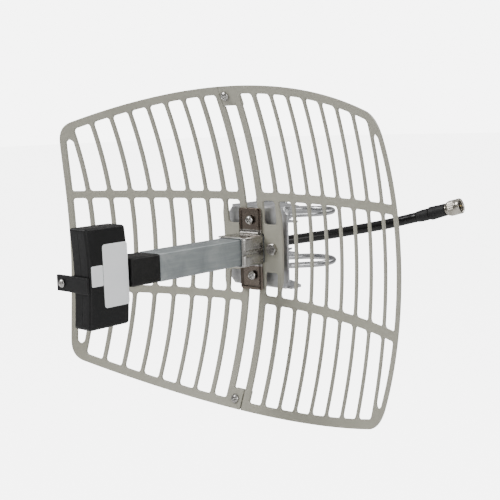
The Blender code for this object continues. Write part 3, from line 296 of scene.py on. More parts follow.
MAT = {
    "cast_paint": mat_paint(),
    "arm_aluminium": mat_alu(),
    "black_plastic": mat_plastic("black_plastic", (0.0046, 0.0046, 0.0050), 0.34, 0.48, 1500.0),
    "sleeve_plastic": mat_plastic("sleeve_plastic", (0.0048, 0.0046, 0.0045), 0.40, 0.58, 900.0, 0.2),
    "zinc_sheet": mat_zinc_sheet(),
    "zinc_hardware": mat_metal("zinc_hardware", (0.30, 0.305, 0.315), (0.54, 0.54, 0.54), 0.20, 0.34),
    # clamp_steel: outer paints a brown reflection on the tabs above and below the arm
    "clamp_steel": mat_metal("clamp_steel", (0.33, 0.32, 0.305), (0.54, 0.53, 0.51), 0.20, 0.34, 60.0, 0.18,
                             tint=((0.32, 0.27, 0.21), 0.25), outer=(0.0165, (0.15, 0.115, 0.09))),
    "stainless_hardware": mat_metal("stainless_hardware", (0.30, 0.29, 0.28), (0.54, 0.53, 0.51), 0.16, 0.30, 120.0),
    "cable_jacket": mat_plastic("cable_jacket", (0.0040, 0.0040, 0.0043), 0.13, 0.22, 2400.0, 0.1),
    "cable_rubber": mat_plastic("cable_rubber", (0.0085, 0.0085, 0.0090), 0.50, 0.64, 1100.0, 0.3),
    "label_film": mat_label(),
    "circuit_board": mat_board(),
    "nickel": mat_metal("nickel", (0.32, 0.30, 0.26), (0.56, 0.53, 0.47), 0.14, 0.26, 150.0,
                        tint=((0.52, 0.44, 0.33), 0.3)),
    "brass": mat_metal("brass", (0.62, 0.45, 0.16), (0.80, 0.61, 0.28), 0.18, 0.30, 150.0),
}


# -------------------------------------------------------------- mesh building
class Geo:
    """Vertices in mm, faces, and normals that follow the large faces."""

    def __init__(self):
        self.v, self.n, self.f = [], [], []

    def add(self, verts, faces, normals=None, m=None):
        """Takes one closed or open patch; m places it. Without normals they come from face areas."""
        verts = [Vector(p) for p in verts]
        if normals is None:
            normals = [Vector((0, 0, 0)) for _ in verts]
            for f in faces:
                c = [verts[i] for i in f]
                a = Vector((0, 0, 0))
                for i in range(1, len(c) - 1):
                    a += (c[i] - c[0]).cross(c[i + 1] - c[0])
                for i in f:
                    normals[i] += a
            normals = [q.normalized() if q.length > 1e-12 else Vector((0, 0, 1)) for q in normals]
            faces = [tuple(f) for f in faces]
        else:
            out = []
            for f in faces:
                c = [verts[i] for i in f]
                a = Vector((0, 0, 0))
                for i in range(1, len(c) - 1):
                    a += (c[i] - c[0]).cross(c[i + 1] - c[0])
                s = Vector((0, 0, 0))
                for i in f:
                    s += normals[i]
                out.append(tuple(f) if a.dot(s) >= 0 else tuple(reversed(f)))
            faces = out
        if m is not None:
            r = m.to_3x3().inverted().transposed()
            verts = [m @ p for p in verts]
            normals = [(r @ q).normalized() for q in normals]
        k = len(self.v)
        self.v += verts
        self.n += normals
        self.f += [tuple(i + k for i in f) for f in faces]
        return self

    def rings(self, rings, closed=True, cap0=False, cap1=False, m=None, flip=False):
        """Skin over rings of equal count; closed joins each ring's end to its start."""
        n = len(rings[0])
        verts = [p for r in rings for p in r]
        faces = []
        for a in range(len(rings) - 1):
            for i in range(n if closed else n - 1):
                j = (i + 1) % n
                f = (a * n + i, a * n + j, (a + 1) * n + j, (a + 1) * n + i)
                faces.append(tuple(reversed(f)) if flip else f)
        self.add(verts, faces, m=m)
        for want, ring, rev in ((cap0, rings[0], not flip), (cap1, rings[-1], flip)):
            if want:
                c = sum((Vector(p) for p in ring), Vector()) / n
                vs = list(ring) + [c]
                fs = [(i, (i + 1) % n, n) for i in range(n)]
                self.add(vs, [tuple(reversed(f)) if rev else f for f in fs], m=m)
        return self

    def make(self, name, frame_m, mat, body, nodes=()):
        me = bpy.data.meshes.new(name)
        r = frame_m.to_3x3()
        me.from_pydata([tuple((frame_m @ p) * MM) for p in self.v], [], self.f)
        me.polygons.foreach_set("use_smooth", [True] * len(me.polygons))
        me.normals_split_custom_set_from_vertices([tuple((r @ q).normalized()) for q in self.n])
        me.update()
        me.materials.append(MAT[mat])
        ob = bpy.data.objects.new(name, me)
        sc.collection.objects.link(ob)
        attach(ob, body)
        if nodes:
            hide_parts(*nodes)
        return ob


def area2(lp):
    return sum(a[0] * b[1] - b[0] * a[1] for a, b in zip(lp, lp[1:] + lp[:1]))


def arc(cx, cy, r, a0, a1, n):
    return [(cx + r * math.cos(math.radians(a0 + (a1 - a0) * i / n)),
             cy + r * math.sin(math.radians(a0 + (a1 - a0) * i / n))) for i in range(n + 1)]


def circle(r, n, cx=0.0, cy=0.0):
    return [(cx + r * math.cos(2 * math.pi * i / n), cy + r * math.sin(2 * math.pi * i / n)) for i in range(n)]


def rounded(lp, r, n=4, least=20.0, step=None):
    """Closed outline with each corner sharper than `least` degrees rounded to radius r."""
    out = []
    k = len(lp)
    for i in range(k):
        p0, p1, p2 = Vector(lp[i - 1]), Vector(lp[i]), Vector(lp[(i + 1) % k])
        a, b = (p0 - p1), (p2 - p1)
        la, lb = a.length, b.length
        a.normalize(), b.normalize()
        turn = math.pi - math.acos(max(-1, min(1, a.dot(b))))
        if math.degrees(turn) < least:
            out.append(tuple(p1))
            continue
        rr = r[i] if hasattr(r, "__len__") else r
        t = min(rr * math.tan(turn / 2), 0.45 * la, 0.45 * lb)
        rad = t / math.tan(turn / 2)
        q0, q1 = p1 + a * t, p1 + b * t
        c = p1 + (a + b).normalized() * math.hypot(rad, t)
        s0 = math.atan2(q0.y - c.y, q0.x - c.x)
        s1 = math.atan2(q1.y - c.y, q1.x - c.x)
        d = (s1 - s0 + math.pi) % (2 * math.pi) - math.pi
        out += [(c.x + rad * math.cos(s0 + d * j / n), c.y + rad * math.sin(s0 + d * j / n)) for j in range(n + 1)]
    if step:
        dense = []
        for i, p in enumerate(out):
            q = out[(i + 1) % len(out)]
            m = max(1, math.ceil(math.hypot(q[0] - p[0], q[1] - p[1]) / step))
            dense += [(p[0] + (q[0] - p[0]) * j / m, p[1] + (q[1] - p[1]) * j / m) for j in range(m)]
        out = dense
    return out


def fill(loops):
    """Triangles inside the first loop and outside the others, as indices into the joined loops."""
    pts, edges = [], []
    for lp in loops:
        k = len(pts)
        pts += [Vector((p[0], p[1])) for p in lp]
        edges += [(k + i, k + (i + 1) % len(lp)) for i in range(len(lp))]
    vs, _, fs, ov, _, _ = geometry.delaunay_2d_cdt(pts, edges, [], 1, 1e-7)
    src = [o[0] if o else None for o in ov]
    holes = [(lp, min(p[0] for p in lp), max(p[0] for p in lp), min(p[1] for p in lp), max(p[1] for p in lp))
             for lp in loops[1:]]

    def in_hole(x, y):
        for lp, x0, x1, y0, y1 in holes:
            if x0 < x < x1 and y0 < y < y1:
                c = False
                for (ax, ay), (bx, by) in zip(lp, lp[1:] + lp[:1]):
                    if (ay > y) != (by > y) and x < (bx - ax) * (y - ay) / (by - ay) + ax:
                        c = not c
                if c:
                    return True
        return False

    tris = []
    for f in fs:
        t = [src[i] for i in f]
        if None in t or len(set(t)) < len(t):
            continue
        c = sum((vs[i] for i in f), Vector((0, 0))) / len(f)
        if not in_hole(c.x, c.y):
            tris.append(tuple(t))
    return tris


def slab(g, loops, thick, bevel, place, segs=2, m=None, back=True):
    """Plate with rounded edges: loops in (u, v), depth w from 0 to thick, each point set by place(u, v, w)."""
    rings, tops = [], []
    base_v, base_n, faces = [], [], []

    def put(u, v, w, nu, nv, nw):
        p = Vector(place(u, v, w))
        e = 0.01
        j = Matrix(((Vector(place(u + e, v, w)) - p) / e, (Vector(place(u, v + e, w)) - p) / e,
                    (Vector(place(u, v, w + e)) - p) / e)).transposed()
        q = j.inverted().transposed() @ Vector((nu, nv, nw))
        base_v.append(p)
        base_n.append(q.normalized())
        return len(base_v) - 1

    front2, back2, front_i, back_i = [], [], [], []
    for k, lp in enumerate(loops):
        lp = list(lp)
        if (area2(lp) > 0) != (k == 0):
            lp.reverse()
        n = len(lp)
        mit, nor = [], []
        for i in range(n):
            p0, p1, p2 = Vector(lp[i - 1]), Vector(lp[i]), Vector(lp[(i + 1) % n])
            e1, e2 = p1 - p0, p2 - p1
            l1, l2 = max(e1.length, 1e-9), max(e2.length, 1e-9)
            n1, n2 = Vector((-e1.y, e1.x)) / l1, Vector((-e2.y, e2.x)) / l2
            s = n1 + n2
            s = s.normalized() if s.length > 1e-6 else n1
            mit.append(s / max(0.5, s.dot(n1)))
            w_ = n1 * l1 + n2 * l2
            nor.append(-(w_.normalized() if w_.length > 1e-9 else s))
        steps = []
        for i in range(segs + 1):
            a = math.pi / 2 * (1 - i / segs)
            steps.append((bevel * (1 - math.cos(a)), bevel * (1 - math.sin(a)), math.cos(a), -math.sin(a)))
        for i in range(segs + 1):
            a = math.pi / 2 * i / segs
            steps.append((bevel * (1 - math.cos(a)), thick - bevel * (1 - math.sin(a)), math.cos(a), math.sin(a)))
        ids = []
        for off, w, co, si in steps:
            row = []
            for (x, y), mm, nn in zip(lp, mit, nor):
                u, v = x + mm.x * off, y + mm.y * off
                row.append(put(u, v, w, nn.x * co, nn.y * co, si))
            ids.append(row)
        for a, b in zip(ids, ids[1:]):
            for i in range(n):
                j = (i + 1) % n
                faces.append((a[i], a[j], b[j], b[i]))
        inner = [(x + mm.x * bevel, y + mm.y * bevel) for (x, y), mm in zip(lp, mit)]
        front2.append(inner)
        front_i += ids[0]
        back_i += ids[-1]
    tris = fill(front2)
    faces += [tuple(front_i[i] for i in t) for t in tris]
    if back:
        faces += [tuple(back_i[i] for i in t) for t in tris]
    g.add(base_v, faces, base_n, m)
    return g


def on_y(y0):
    """Plate in XZ whose front is at y0 and which goes back from there."""
    return lambda u, v, w: (u, y0 + w, v)


def on_x(x0):
    return lambda u, v, w: (x0 + w, u, v)


def on_z(z0):
    return lambda u, v, w: (u, v, z0 + w)


def lathe(g, profile, segs, m=None, r=0.0, warp=None, seam=False):
    """Profile (radius, z) turned about Z; corners rounded to r; warp(radius, angle, z) shifts the radius."""
    prof = [Vector(p) for p in profile]
    if r:
        out = [prof[0]]
        for a, b, c in zip(prof, prof[1:], prof[2:]):
            d0, d1 = a - b, c - b
            if d0.length < 1e-6 or d1.length < 1e-6:
                continue
            t = min(r, d0.length * 0.4, d1.length * 0.4)
            q0, q1 = b + d0.normalized() * t, b + d1.normalized() * t
            for i in range(4):
                s = i / 3
                out.append(q0 * (1 - s) ** 2 + b * 2 * s * (1 - s) + q1 * s * s)
        prof = out + [prof[-1]]
    rings = []
    for p in prof:
        row = []
        for i in range(segs):
            a = 2 * math.pi * i / segs
            q = p.x + (warp(p.x, a, p.y) if warp else 0.0)
            row.append((q * math.cos(a), q * math.sin(a), p.y))
        rings.append(row)
    g.rings(rings, m=m)
    return g


def hexr(a, ap):
    b = (a % (math.pi / 3)) - math.pi / 6
    return ap / math.cos(b)


def hex_block(g, af, h, m, hole=0.0, both=False, chamfer=0.62, segs=72):
    """Hexagon with turned chamfers and, for a nut, its bore; from z=0 to z=h."""
    ap = af / 2
    ang = [2 * math.pi * i / segs + math.pi / 6 for i in range(segs)]

    def cap(z, s, cut):
        rings = []
        radii = ([hole, hole + 0.35] if hole else [0.001, ap * 0.4]) + [ap * 0.80, ap * 0.93]
        for k, r in enumerate(radii):
            dz = -0.35 if hole and k == 0 else 0.0
            rings.append([(r * math.cos(a), r * math.sin(a), z + s * dz) for a in ang])
        for q in (0.5, 1.0):
            row = []
            for a in ang:
                rr = hexr(a, ap)
                r = ap * 0.93 + (rr - ap * 0.93) * q
                row.append((r * math.cos(a), r * math.sin(a), z - s * (r - ap * 0.93) * (chamfer if cut else 0.0)))
            rings.append(row)
        g.rings(rings, m=m, flip=s < 0)
        return rings[-1]

    top = cap(h, 1, True)
    bot = cap(0.0, -1, both)
    mid = [[(hexr(a, ap) * math.cos(a), hexr(a, ap) * math.sin(a), b[2] + (t[2] - b[2]) * q)
            for a, t, b in zip(ang, top, bot)] for q in (0.0, 0.08, 0.92, 1.0)]
    g.rings(mid, m=m)
    if hole:
        bore = [[((hole - 0.25 * (k % 2)) * math.cos(a), (hole - 0.25 * (k % 2)) * math.sin(a),
                  0.35 + (h - 0.7) * k / 8) for a in ang] for k in range(9)]
        g.rings(bore, m=m, flip=True)
    return g


def thread(g, r, z0, z1, m, pitch=0.8, segs=28, plain=None):
    """Threaded rod between z0 and z1 (z0 the free end), with a chamfered tip."""
    n = max(8, int((z1 - z0) / pitch * 4))
    rings = [[(r * 0.45 * math.cos(2 * math.pi * i / segs), r * 0.45 * math.sin(2 * math.pi * i / segs), z0)
              for i in range(segs)]]
    for k in range(n + 1):
        z = z0 + (z1 - z0) * k / n
        row = []
        for i in range(segs):
            a = 2 * math.pi * i / segs
            ph = (z / pitch - i / segs) % 1.0
            depth = 0.12 * r * (1 - abs(2 * ph - 1)) if plain is None or z < plain else 0.0
            lim = min(1.0, 0.72 + (z - z0) / 1.1)
            q = min(r - depth, r * lim)
            row.append((q * math.cos(a), q * math.sin(a), z))
        rings.append(row)
    g.rings(rings, cap0=True, m=m)
    return g


def pan_head(g, R, H, m, slot_w=0.17, segs=64):
    """Domed head with a cross recess, from z=0 to z=H."""
    def soft(t):
        t = max(0.0, min(1.0, t))
        return t * t * (3 - 2 * t)

    rings = []
    rad = [0.001] + [R * 0.93 * i / 22 for i in range(1, 23)] + [R * 0.965, R * 0.99, R]
    for r in rad:
        row = []
        for i in range(segs):
            a = 2 * math.pi * i / segs + 0.35
            x, y = r * math.cos(a), r * math.sin(a)
            ca, sa = math.cos(0.35), math.sin(0.35)
            p, q = x * ca + y * sa, -x * sa + y * ca
            w, ln, s = slot_w * R, 0.60 * R, 0.10 * R
            cut = max(soft((w - abs(p)) / s + 0.5) * soft((ln - abs(q)) / s + 0.5),
                      soft((w - abs(q)) / s + 0.5) * soft((ln - abs(p)) / s + 0.5))
            z = H * (0.24 + 0.76 * (1 - (r / R) ** 3.4)) - cut * 0.52 * H * (1 - 0.35 * r / R)
            row.append((x, y, z))
        rings.append(row)
    g.rings(rings, m=m, flip=False)
    side = [[(r * math.cos(2 * math.pi * i / segs), r * math.sin(2 * math.pi * i / segs), z) for i in range(segs)]
            for r, z in ((R, H * 0.24), (R, 0.25), (R - 0.2, 0.0), (0.5, 0.0))]
    g.rings(side, m=m, flip=True)
    return g


def sweep(g, pts, radius, segs=28, m=None, caps=True):
    """Round rod along pts; radius is a number or radius(i, angle)."""
    pts = [Vector(p) for p in pts]
    tan = [(pts[min(i + 1, len(pts) - 1)] - pts[max(i - 1, 0)]).normalized() for i in range(len(pts))]
    side = tan[0].orthogonal().normalized()
    rings = []
    for i, (p, t) in enumerate(zip(pts, tan)):
        side = (side - t * side.dot(t)).normalized()
        up_ = t.cross(side)
        row = []
        for k in range(segs):
            a = 2 * math.pi * k / segs
            r = radius(i, a) if callable(radius) else radius
            row.append(p + side * (r * math.cos(a)) + up_ * (r * math.sin(a)))
        rings.append(row)
    g.rings(rings, cap0=caps, cap1=caps, m=m)
    return g


def at(loc, rot=(0, 0, 0)):
    from mathutils import Euler
    return Matrix.Translation(Vector(loc)) @ Euler(rot).to_matrix().to_4x4()


FRONT, BACK = (math.radians(90), 0, 0), (math.radians(-90), 0, 0)
UP, DOWN = (0, 0, 0), (math.radians(180), 0, 0)

# ------------------------------------------------------------- the two castings
def top_edge(x):
    return HALF_H - TOP_A * x * x - TOP_B * x ** 4


def side_edge(z):
    return HALF_W - SIDE_A * z * z - SIDE_B * z ** 4


def dish_y(x, z):
    return -max(x * x + z * z, FLAT_R ** 2) / (4 * FOCAL)


def corner_curve(n):
    ax, az = CORNER_X, top_edge(CORNER_X)
    bx, bz = side_edge(CORNER_Z), CORNER_Z
    ta = top_edge(ax + 0.5) - top_edge(ax - 0.5)
    tb = side_edge(bz + 0.5) - side_edge(bz - 0.5)
    t = ((az - bz) + ta * (bx - ax)) / (1 - ta * tb)
    cx, cz = bx + tb * t, bz + t
    out = []
    for i in range(1, n):
        u = i / n
        out.append((ax * (1 - u) ** 2 + 2 * cx * u * (1 - u) + bx * u * u,
                    az * (1 - u) ** 2 + 2 * cz * u * (1 - u) + bz * u * u))
    return out


def run(f, a, b, step=6.0):
    n = max(2, math.ceil(abs(b - a) / step))
    return [f(a + (b - a) * i / n) for i in range(n + 1)]


def slot_loop(left, right, bottom, top, r=SLOT_R, extra=()):
    """Slot between four edges with round corners, counter-clockwise."""
    zb0, zt0 = bottom(left(0)), top(left(0))
    pts = []
    q = [math.radians(a) for a in (0, 18, 36, 54, 72, 90)]

    def corner(x_of, sx, z_of, sz, back):
        seq = [(r * (1 - math.sin(a)), r * (1 - math.cos(a))) for a in q]
        if back:
            seq.reverse()
        for dx, dz in seq:
            z0 = z_of(x_of(z_of(0)))
            x = x_of(z0 + sz * dz) + sx * dx
            pts.append((x, z_of(x) + sz * dz))

    corner(left, 1, bottom, 1, True)
    a, b = pts[-1][0], right(bottom(right(0))) - r
    n = max(1, round((b - a) / 5.0))
    pts.extend((a + (b - a) * i / n, bottom(a + (b - a) * i / n)) for i in range(1, n))
    corner(right, -1, bottom, 1, False)
    z0, z1 = pts[-1][1], top(right(top(0))) - r
    n = max(2, round((z1 - z0) / 6.0))
    pts.extend((right(z0 + (z1 - z0) * i / n), z0 + (z1 - z0) * i / n) for i in range(1, n))
    corner(right, -1, top, -1, True)
    a, b = pts[-1][0], left(top(left(0))) + r
    n = max(1, round((a - b) / 5.0))
    pts.extend((a + (b - a) * i / n, top(a + (b - a) * i / n)) for i in range(1, n))
    corner(left, 1, top, -1, False)
    z0, z1 = pts[-1][1], pts[0][1]
    n = max(2, round((z0 - z1) / 6.0))
    zs = sorted(set([z0 + (z1 - z0) * i / n for i in range(1, n)]) | set(extra), reverse=True)
    pts.extend((left(z), z) for z in zs)
    return pts


def bar_x(k):
    return FIRST_BAR_X + BAR_PITCH * (k - 1)


def half_loops(reach, rebate):
    """Outline and slots of a casting as if it were the right one. reach: end of its front tongue."""
    low = 8.6 if rebate else INNER_X0
    edge = run(lambda x: (x, -top_edge(x)), low, CORNER_X)[:-1] + [(CORNER_X, -top_edge(CORNER_X))]
    curve = corner_curve(14)
    edge += [(x, -z) for x, z in curve]
    edge += run(lambda z: (side_edge(z), z), -CORNER_Z, CORNER_Z)
    edge += list(reversed(curve))
    edge += run(lambda x: (x, top_edge(x)), CORNER_X, reach)
    edge += [(reach, LUG_Z), (INNER_X0 - 1.0, LUG_Z), (INNER_X0, LUG_Z - 1.0)]
    edge += [(INNER_X0, z) for z in range(125, 20, -6)]
    edge += [(INNER_X0, ARM_NOTCH_Z), (ARM_NOTCH_X, ARM_NOTCH_Z), (ARM_NOTCH_X, -ARM_NOTCH_Z),
             (INNER_X0, -ARM_NOTCH_Z)]
    edge += [(INNER_X0, -z) for z in range(23, 129, 6)]
    if rebate:
        edge += [(INNER_X0, -(LUG_Z - GAP)), (low, -(LUG_Z - GAP))]
    loops = [edge]
    inner_top = lambda x: top_edge(x) - RIM_W * 1.02
    inner_side = lambda z: side_edge(z) - RIM_SIDE_W
    for k in range(BARS + 1):
        x0 = INNER_X1 if k == 0 else bar_x(k) + BAR_W / 2
        x1 = bar_x(k + 1) - BAR_W / 2 - (1.1 if k == 0 else 0)
        if k < BARS:
            left = lambda z, x0=x0: x0
            right_ = lambda z, x1=x1: x1
            mid_x = (x0 + x1) / 2
            up_ = slot_loop(left, right_, lambda x: RIB_Z1, lambda x, m=mid_x: inner_top(x if x > 1 else m))
            loops += [up_, [(x, -z) for x, z in up_]]
            if k == 0:
                w = slot_loop(left, right_, lambda x: PLATE_Z, lambda x: RIB_Z0)
                loops += [w, [(x, -z) for x, z in w]]
            elif k == 1:
                def plate(z, x0=x0):
                    t = min(1.0, max(0.0, (abs(z) - PLATE_CH0) / (PLATE_CH1 - PLATE_CH0)))
                    return PLATE_X1 + (x0 - PLATE_X1) * t
                loops.append(slot_loop(plate, right_, lambda x: -RIB_Z0, lambda x: RIB_Z0, SLOT_R,
                                       (-PLATE_CH1, -PLATE_CH0, PLATE_CH0, PLATE_CH1)))
            else:
                loops.append(slot_loop(left, right_, lambda x: -RIB_Z0, lambda x: RIB_Z0))
        else:
            mid = run(lambda z: (x0, z), -RIB_Z0 + 3, RIB_Z0 - 3)
            out = run(lambda z: (inner_side(z), z), RIB_Z0 - 3, -RIB_Z0 + 3)
            body = [(x0, -RIB_Z0)] + mid[1:-1] + [(x0, RIB_Z0), (inner_side(RIB_Z0), RIB_Z0)] + out[1:-1] \
                + [(inner_side(-RIB_Z0), -RIB_Z0)]
            loops.append(rounded(body, 3.0, 5, 40))
            tip = 104.2
            poly = [(x0, RIB_Z1), (inner_side(RIB_Z1), RIB_Z1)]
            poly += run(lambda z: (inner_side(z), z), RIB_Z1 + 4, tip - 2.5)
            poly += [((inner_side(tip) * 2 + x0) / 3, tip), ((inner_side(tip) + x0 * 2) / 3, tip)]
            poly += run(lambda z: (x0, z), tip - 2.5, RIB_Z1 + 4)
            up_ = rounded(poly, 2.6, 4, 20)
            loops += [up_, [(x, -z) for x, z in up_]]
    return loops


def lap_pose(s):
    base = Vector((LUG_HOLE_X, dish_y(LUG_HOLE_X, LUG_HOLE_Z), s * LUG_HOLE_Z))
    tilt = math.atan(2 * LUG_HOLE_Z / (4 * FOCAL)) * s
    n = Vector((0, -math.cos(tilt), -math.sin(tilt)))
    return base, n, (math.radians(90) + tilt, 0, 0)


for name, side in (("reflector_right", 1), ("reflector_left", -1)):
    g = Geo()
    reach = LUG_X_TOP if side > 0 else -LUG_X_BOTTOM
    loops = half_loops(reach, side < 0)
    loops = [[(side * x, side * z) for x, z in lp] for lp in loops]

    def place(u, v, w, side=side):
        # the front tongue is thinner than the rest of the casting
        tongue = side * u < INNER_X0 - 0.6 and side * v > LUG_Z - 0.5
        return (u, dish_y(u, v) + w * (LAP_T / CAST_T if tongue else 1.0), v)

    slab(g, loops, CAST_T, 0.55, place)
    # thicker pads behind both ends of the seam, one of them reaching under the other half
    for end in (1, -1):
        if side > 0:
            far = -INNER_X0 + GAP if end < 0 else INNER_X0 + 0.2
        else:
            far = INNER_X0 - GAP if end > 0 else -(INNER_X0 + 0.2)
        x0 = side * 13.6
        xs = [x0 + (far - x0) * i / 5 for i in range(6)]
        lp = [(x0, end * LUG_Z), *[(x, end * (top_edge(x) - 0.3)) for x in xs], (far, end * LUG_Z)]
        slab(g, [rounded(lp, 1.2, 4)], PAD_T - LAP_T - GAP, 0.4,
             lambda u, v, w: (u, dish_y(u, v) + LAP_T + GAP + w, v))
    # boss behind the plate bolt
    lathe(g, [(0.5, 0), (7.0, 0), (7.0, WEB_Y - GAP + 0.5), (3.4, WEB_Y - GAP + 0.5)], 48,
          at((side * PLATE_BOLT_X, -0.5, 0), BACK), 0.4)
    g.make(name + "_cast", T_DISH, "cast_paint", "dish", (name,))


# -------------------------------------------------------------------- hardware
def nut_piece(node, af, h, hole, loc, rot, fm, body, mat, both=True):
    g = Geo()
    hex_block(g, af, h, at(loc, rot), hole, both)
    g.make(node + "_part", fm, mat, body, (node,))


def washer_piece(node, ro, ri, h, loc, rot, fm, body, mat):
    g = Geo()
    slab(g, [circle(ro, 40), circle(ri, 32)], h, 0.2, lambda u, v, w: (u, v, w), m=at(loc, rot))
    g.make(node + "_part", fm, mat, body, (node,))


def screw_piece(node, R, H, shank, length, loc, rot, fm, body, mat):
    g = Geo()
    m = at(loc, rot)
    pan_head(g, R, H, m)
    thread(g, shank, -length, 0.0, m)
    g.make(node + "_part", fm, mat, body, (node,))


def bolt_piece(node, af, h, shank, length, loc, rot, fm, body, mat, flange=0.0):
    g = Geo()
    m = at(loc, rot)
    hex_block(g, af, h, m @ Matrix.Translation((0, 0, flange)))
    if flange:
        lathe(g, [(0.5, flange + 0.1), (af * 0.64, flange), (af * 0.68, flange * 0.5), (af * 0.68, 0), (0.5, 0)],
              48, m, 0.15)
    thread(g, shank, -length, 0.0, m, 1.0)
    g.make(node + "_part", fm, mat, body, (node,))


plate_y = dish_y(0, 0)
for tag, s in (("top", 1), ("bottom", -1)):
    base, n_, rot = lap_pose(s)
    screw_piece("lap_screw_" + tag, 4.4, 2.8, 2.3, 10.5, base + n_ * (GAP + 0.3), rot, T_DISH, "dish",
                "stainless_hardware")
    nut_piece("lap_nut_" + tag, 8.0, 3.2, 2.3, base - n_ * (PAD_T * -n_.y + GAP + 0.3 + 3.2), rot, T_DISH, "dish",
              "stainless_hardware")
for tag, s in (("right", 1), ("left", -1)):
    bolt_piece("plate_bolt_" + tag, 10.0, 3.6, 2.95, 20.0, (s * PLATE_BOLT_X, plate_y - GAP, 0), FRONT, T_DISH,
               "dish", "stainless_hardware")
    washer_piece("plate_washer_" + tag, 6.0, 3.25, 1.4, (s * PLATE_BOLT_X, WEB_Y + SHEET + GAP, 0), BACK, T_DISH,
                 "dish", "stainless_hardware")
    nut_piece("plate_nut_" + tag, 10.0, 5.0, 3.0, (s * PLATE_BOLT_X, WEB_Y + SHEET + GAP * 2 + 1.4, 0), BACK,
              T_DISH, "dish", "stainless_hardware")


def refine(node, mat, body, bevel=0.35, angle=32.0):
    """The node's own shape with rounded edges."""
    bm = bmesh.new()
    bm.from_mesh(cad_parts[node].data)
    bmesh.ops.remove_doubles(bm, verts=bm.verts, dist=2e-6)
    bmesh.ops.dissolve_limit(bm, angle_limit=math.radians(1.5), verts=bm.verts, edges=bm.edges)
    edges = [e for e in bm.edges if len(e.link_faces) == 2
             and e.calc_face_angle(0.0) > math.radians(angle)]
    bmesh.ops.bevel(bm, geom=edges, offset=bevel * MM, segments=2, profile=0.5, affect='EDGES',
                    clamp_overlap=True)
    bmesh.ops.triangulate(bm, faces=[f for f in bm.faces if len(f.verts) > 4])
    bmesh.ops.split_edges(bm, edges=[e for e in bm.edges if len(e.link_faces) == 2
                                     and e.calc_face_angle(0.0) > math.radians(20.0)])
    bm.verts.index_update()
    g = Geo()
    g.add([v.co / MM for v in bm.verts], [tuple(v.index for v in f.verts) for f in bm.faces])
    bm.free()
    return g.make(node + "_part", Matrix.Identity(4), mat, body, (node,))


refine("dish_bracket", "zinc_sheet", "dish", 0.4)
refine("mast_bracket", "zinc_sheet", "mast_mount", 0.4)
refine("mast_saddle", "zinc_sheet", "mast_mount", 0.25)

# ------------------------------------------------------------------ arm, clamp
ax0, ax1 = ARM_X - ARM_W / 2, ARM_X + ARM_W / 2
az0, az1 = ARM_Z - ARM_H / 2, ARM_Z + ARM_H / 2


def rect(x0, x1, z0, z1, r, n=5, step=None):
    return rounded([(x0, z0), (x1, z0), (x1, z1), (x0, z1)], r, n, step=step)


g = Geo()
w = ARM_WALL
slab(g, [rect(ax0, ax1, az0, az1, 1.5, 6), rect(ax0 + w, ax1 - w, az0 + w, az1 - w, 0.6, 3)],
     ARM_Y1 - ARM_Y0, 0.3, on_y(ARM_Y0))
g.make("feed_arm_tube", T_DISH, "arm_aluminium", "dish", ("feed_arm",))

ct = 1.5
cl0, cl1 = ax0 - GAP, ax1 + GAP
cb, cu_ = az0 - GAP, az1 + GAP
C_Y0 = -33.0
tab_t = 1.3
TAB_TOP, TAB_BOT = 37.0, -39.5
tab_y1 = dish_y(cl0 - ct, TAB_BOT) - GAP
f_y1 = tab_y1 - tab_t - GAP
f_y0 = f_y1 - tab_t


def smooth01(t):
    t = max(0.0, min(1.0, t))
    return t * t * (3 - 2 * t)


def hoop_sheet(g):
    """The clamp's strip round the arm, with two pressed swellings on its right-hand side."""
    r = 2.2
    top_z, bot_z, rx = cu_ + ct, cb - ct, cl1 + ct
    path = [(x, top_z) for x in [-14.2 + (rx - r + 14.2) * i / 26 for i in range(26)]]
    path += arc(rx - r, top_z - r, r, 90, 0, 6)
    path += [(rx, top_z - r + (bot_z + r - top_z + r) * i / 44) for i in range(1, 44)]
    path += arc(rx - r, bot_z + r, r, 0, -90, 6)
    path += [(rx - r + (-14.2 - rx + r) * i / 26, bot_z) for i in range(1, 27)]
    y1 = f_y1 - 0.2
    ys = [C_Y0 + (y1 - C_Y0) * i / 36 for i in range(37)]

    def swell(z, y):
        a = smooth01((y - C_Y0 - 0.6) / 2.6) * smooth01((y1 - 0.5 - y) / 1.6)
        b = 0.0
        for z0, z1 in ((-0.4, cu_ + ct + 0.5), (cb - ct - 0.5, -2.9)):
            b = max(b, smooth01((z - z0) / 1.7) * smooth01((z1 - z) / 2.4))
        return 1.5 * a * b

    outer, inner = [], []
    for y in ys:
        ro, ri = [], []
        for (x, z) in path:
            cx, cz = min(max(x, -99), rx - r), min(max(z, bot_z + r), top_z - r)
            d = Vector((x - cx, z - cz)) if x > rx - r else Vector((0, 1 if z > 0 else -1))
            d = d.normalized() if d.length > 1e-6 else Vector((1, 0))
            k = swell(z, y) * max(0.0, d.x)
            ro.append((x + d.x * k, y, z + d.y * k))
            ri.append((x + d.x * (k - ct * 0.86), y, z + d.y * (k - ct * 0.86)))
        outer.append(ro)
        inner.append(ri)
    g.rings(outer, closed=False, flip=True)
    g.rings(inner, closed=False)
    # rounded sheet edges all round
    def lip(a, b, out):
        rows = []
        for q in range(7):
            t = math.pi * q / 6
            row = []
            for p0, p1, o in zip(a, b, out):
                c = (Vector(p0) + Vector(p1)) / 2
                h = (Vector(p0) - Vector(p1)) / 2
                row.append(c + h * math.cos(t) + o * (h.length * 0.45 * math.sin(t)))
            rows.append(row)
        return rows
    n = len(path)
    for k, o in ((0, Vector((0, -1, 0))), (-1, Vector((0, 1, 0)))):
        g.rings(lip(outer[k], inner[k], [o] * n), closed=False, flip=k == 0)
    for k, o in ((0, Vector((-1, 0, 0))), (-1, Vector((-1, 0, 0)))):
        a = [row[k] for row in outer]
        b = [row[k] for row in inner]
        g.rings(lip(a, b, [o] * len(a)), closed=False, flip=k == -1)


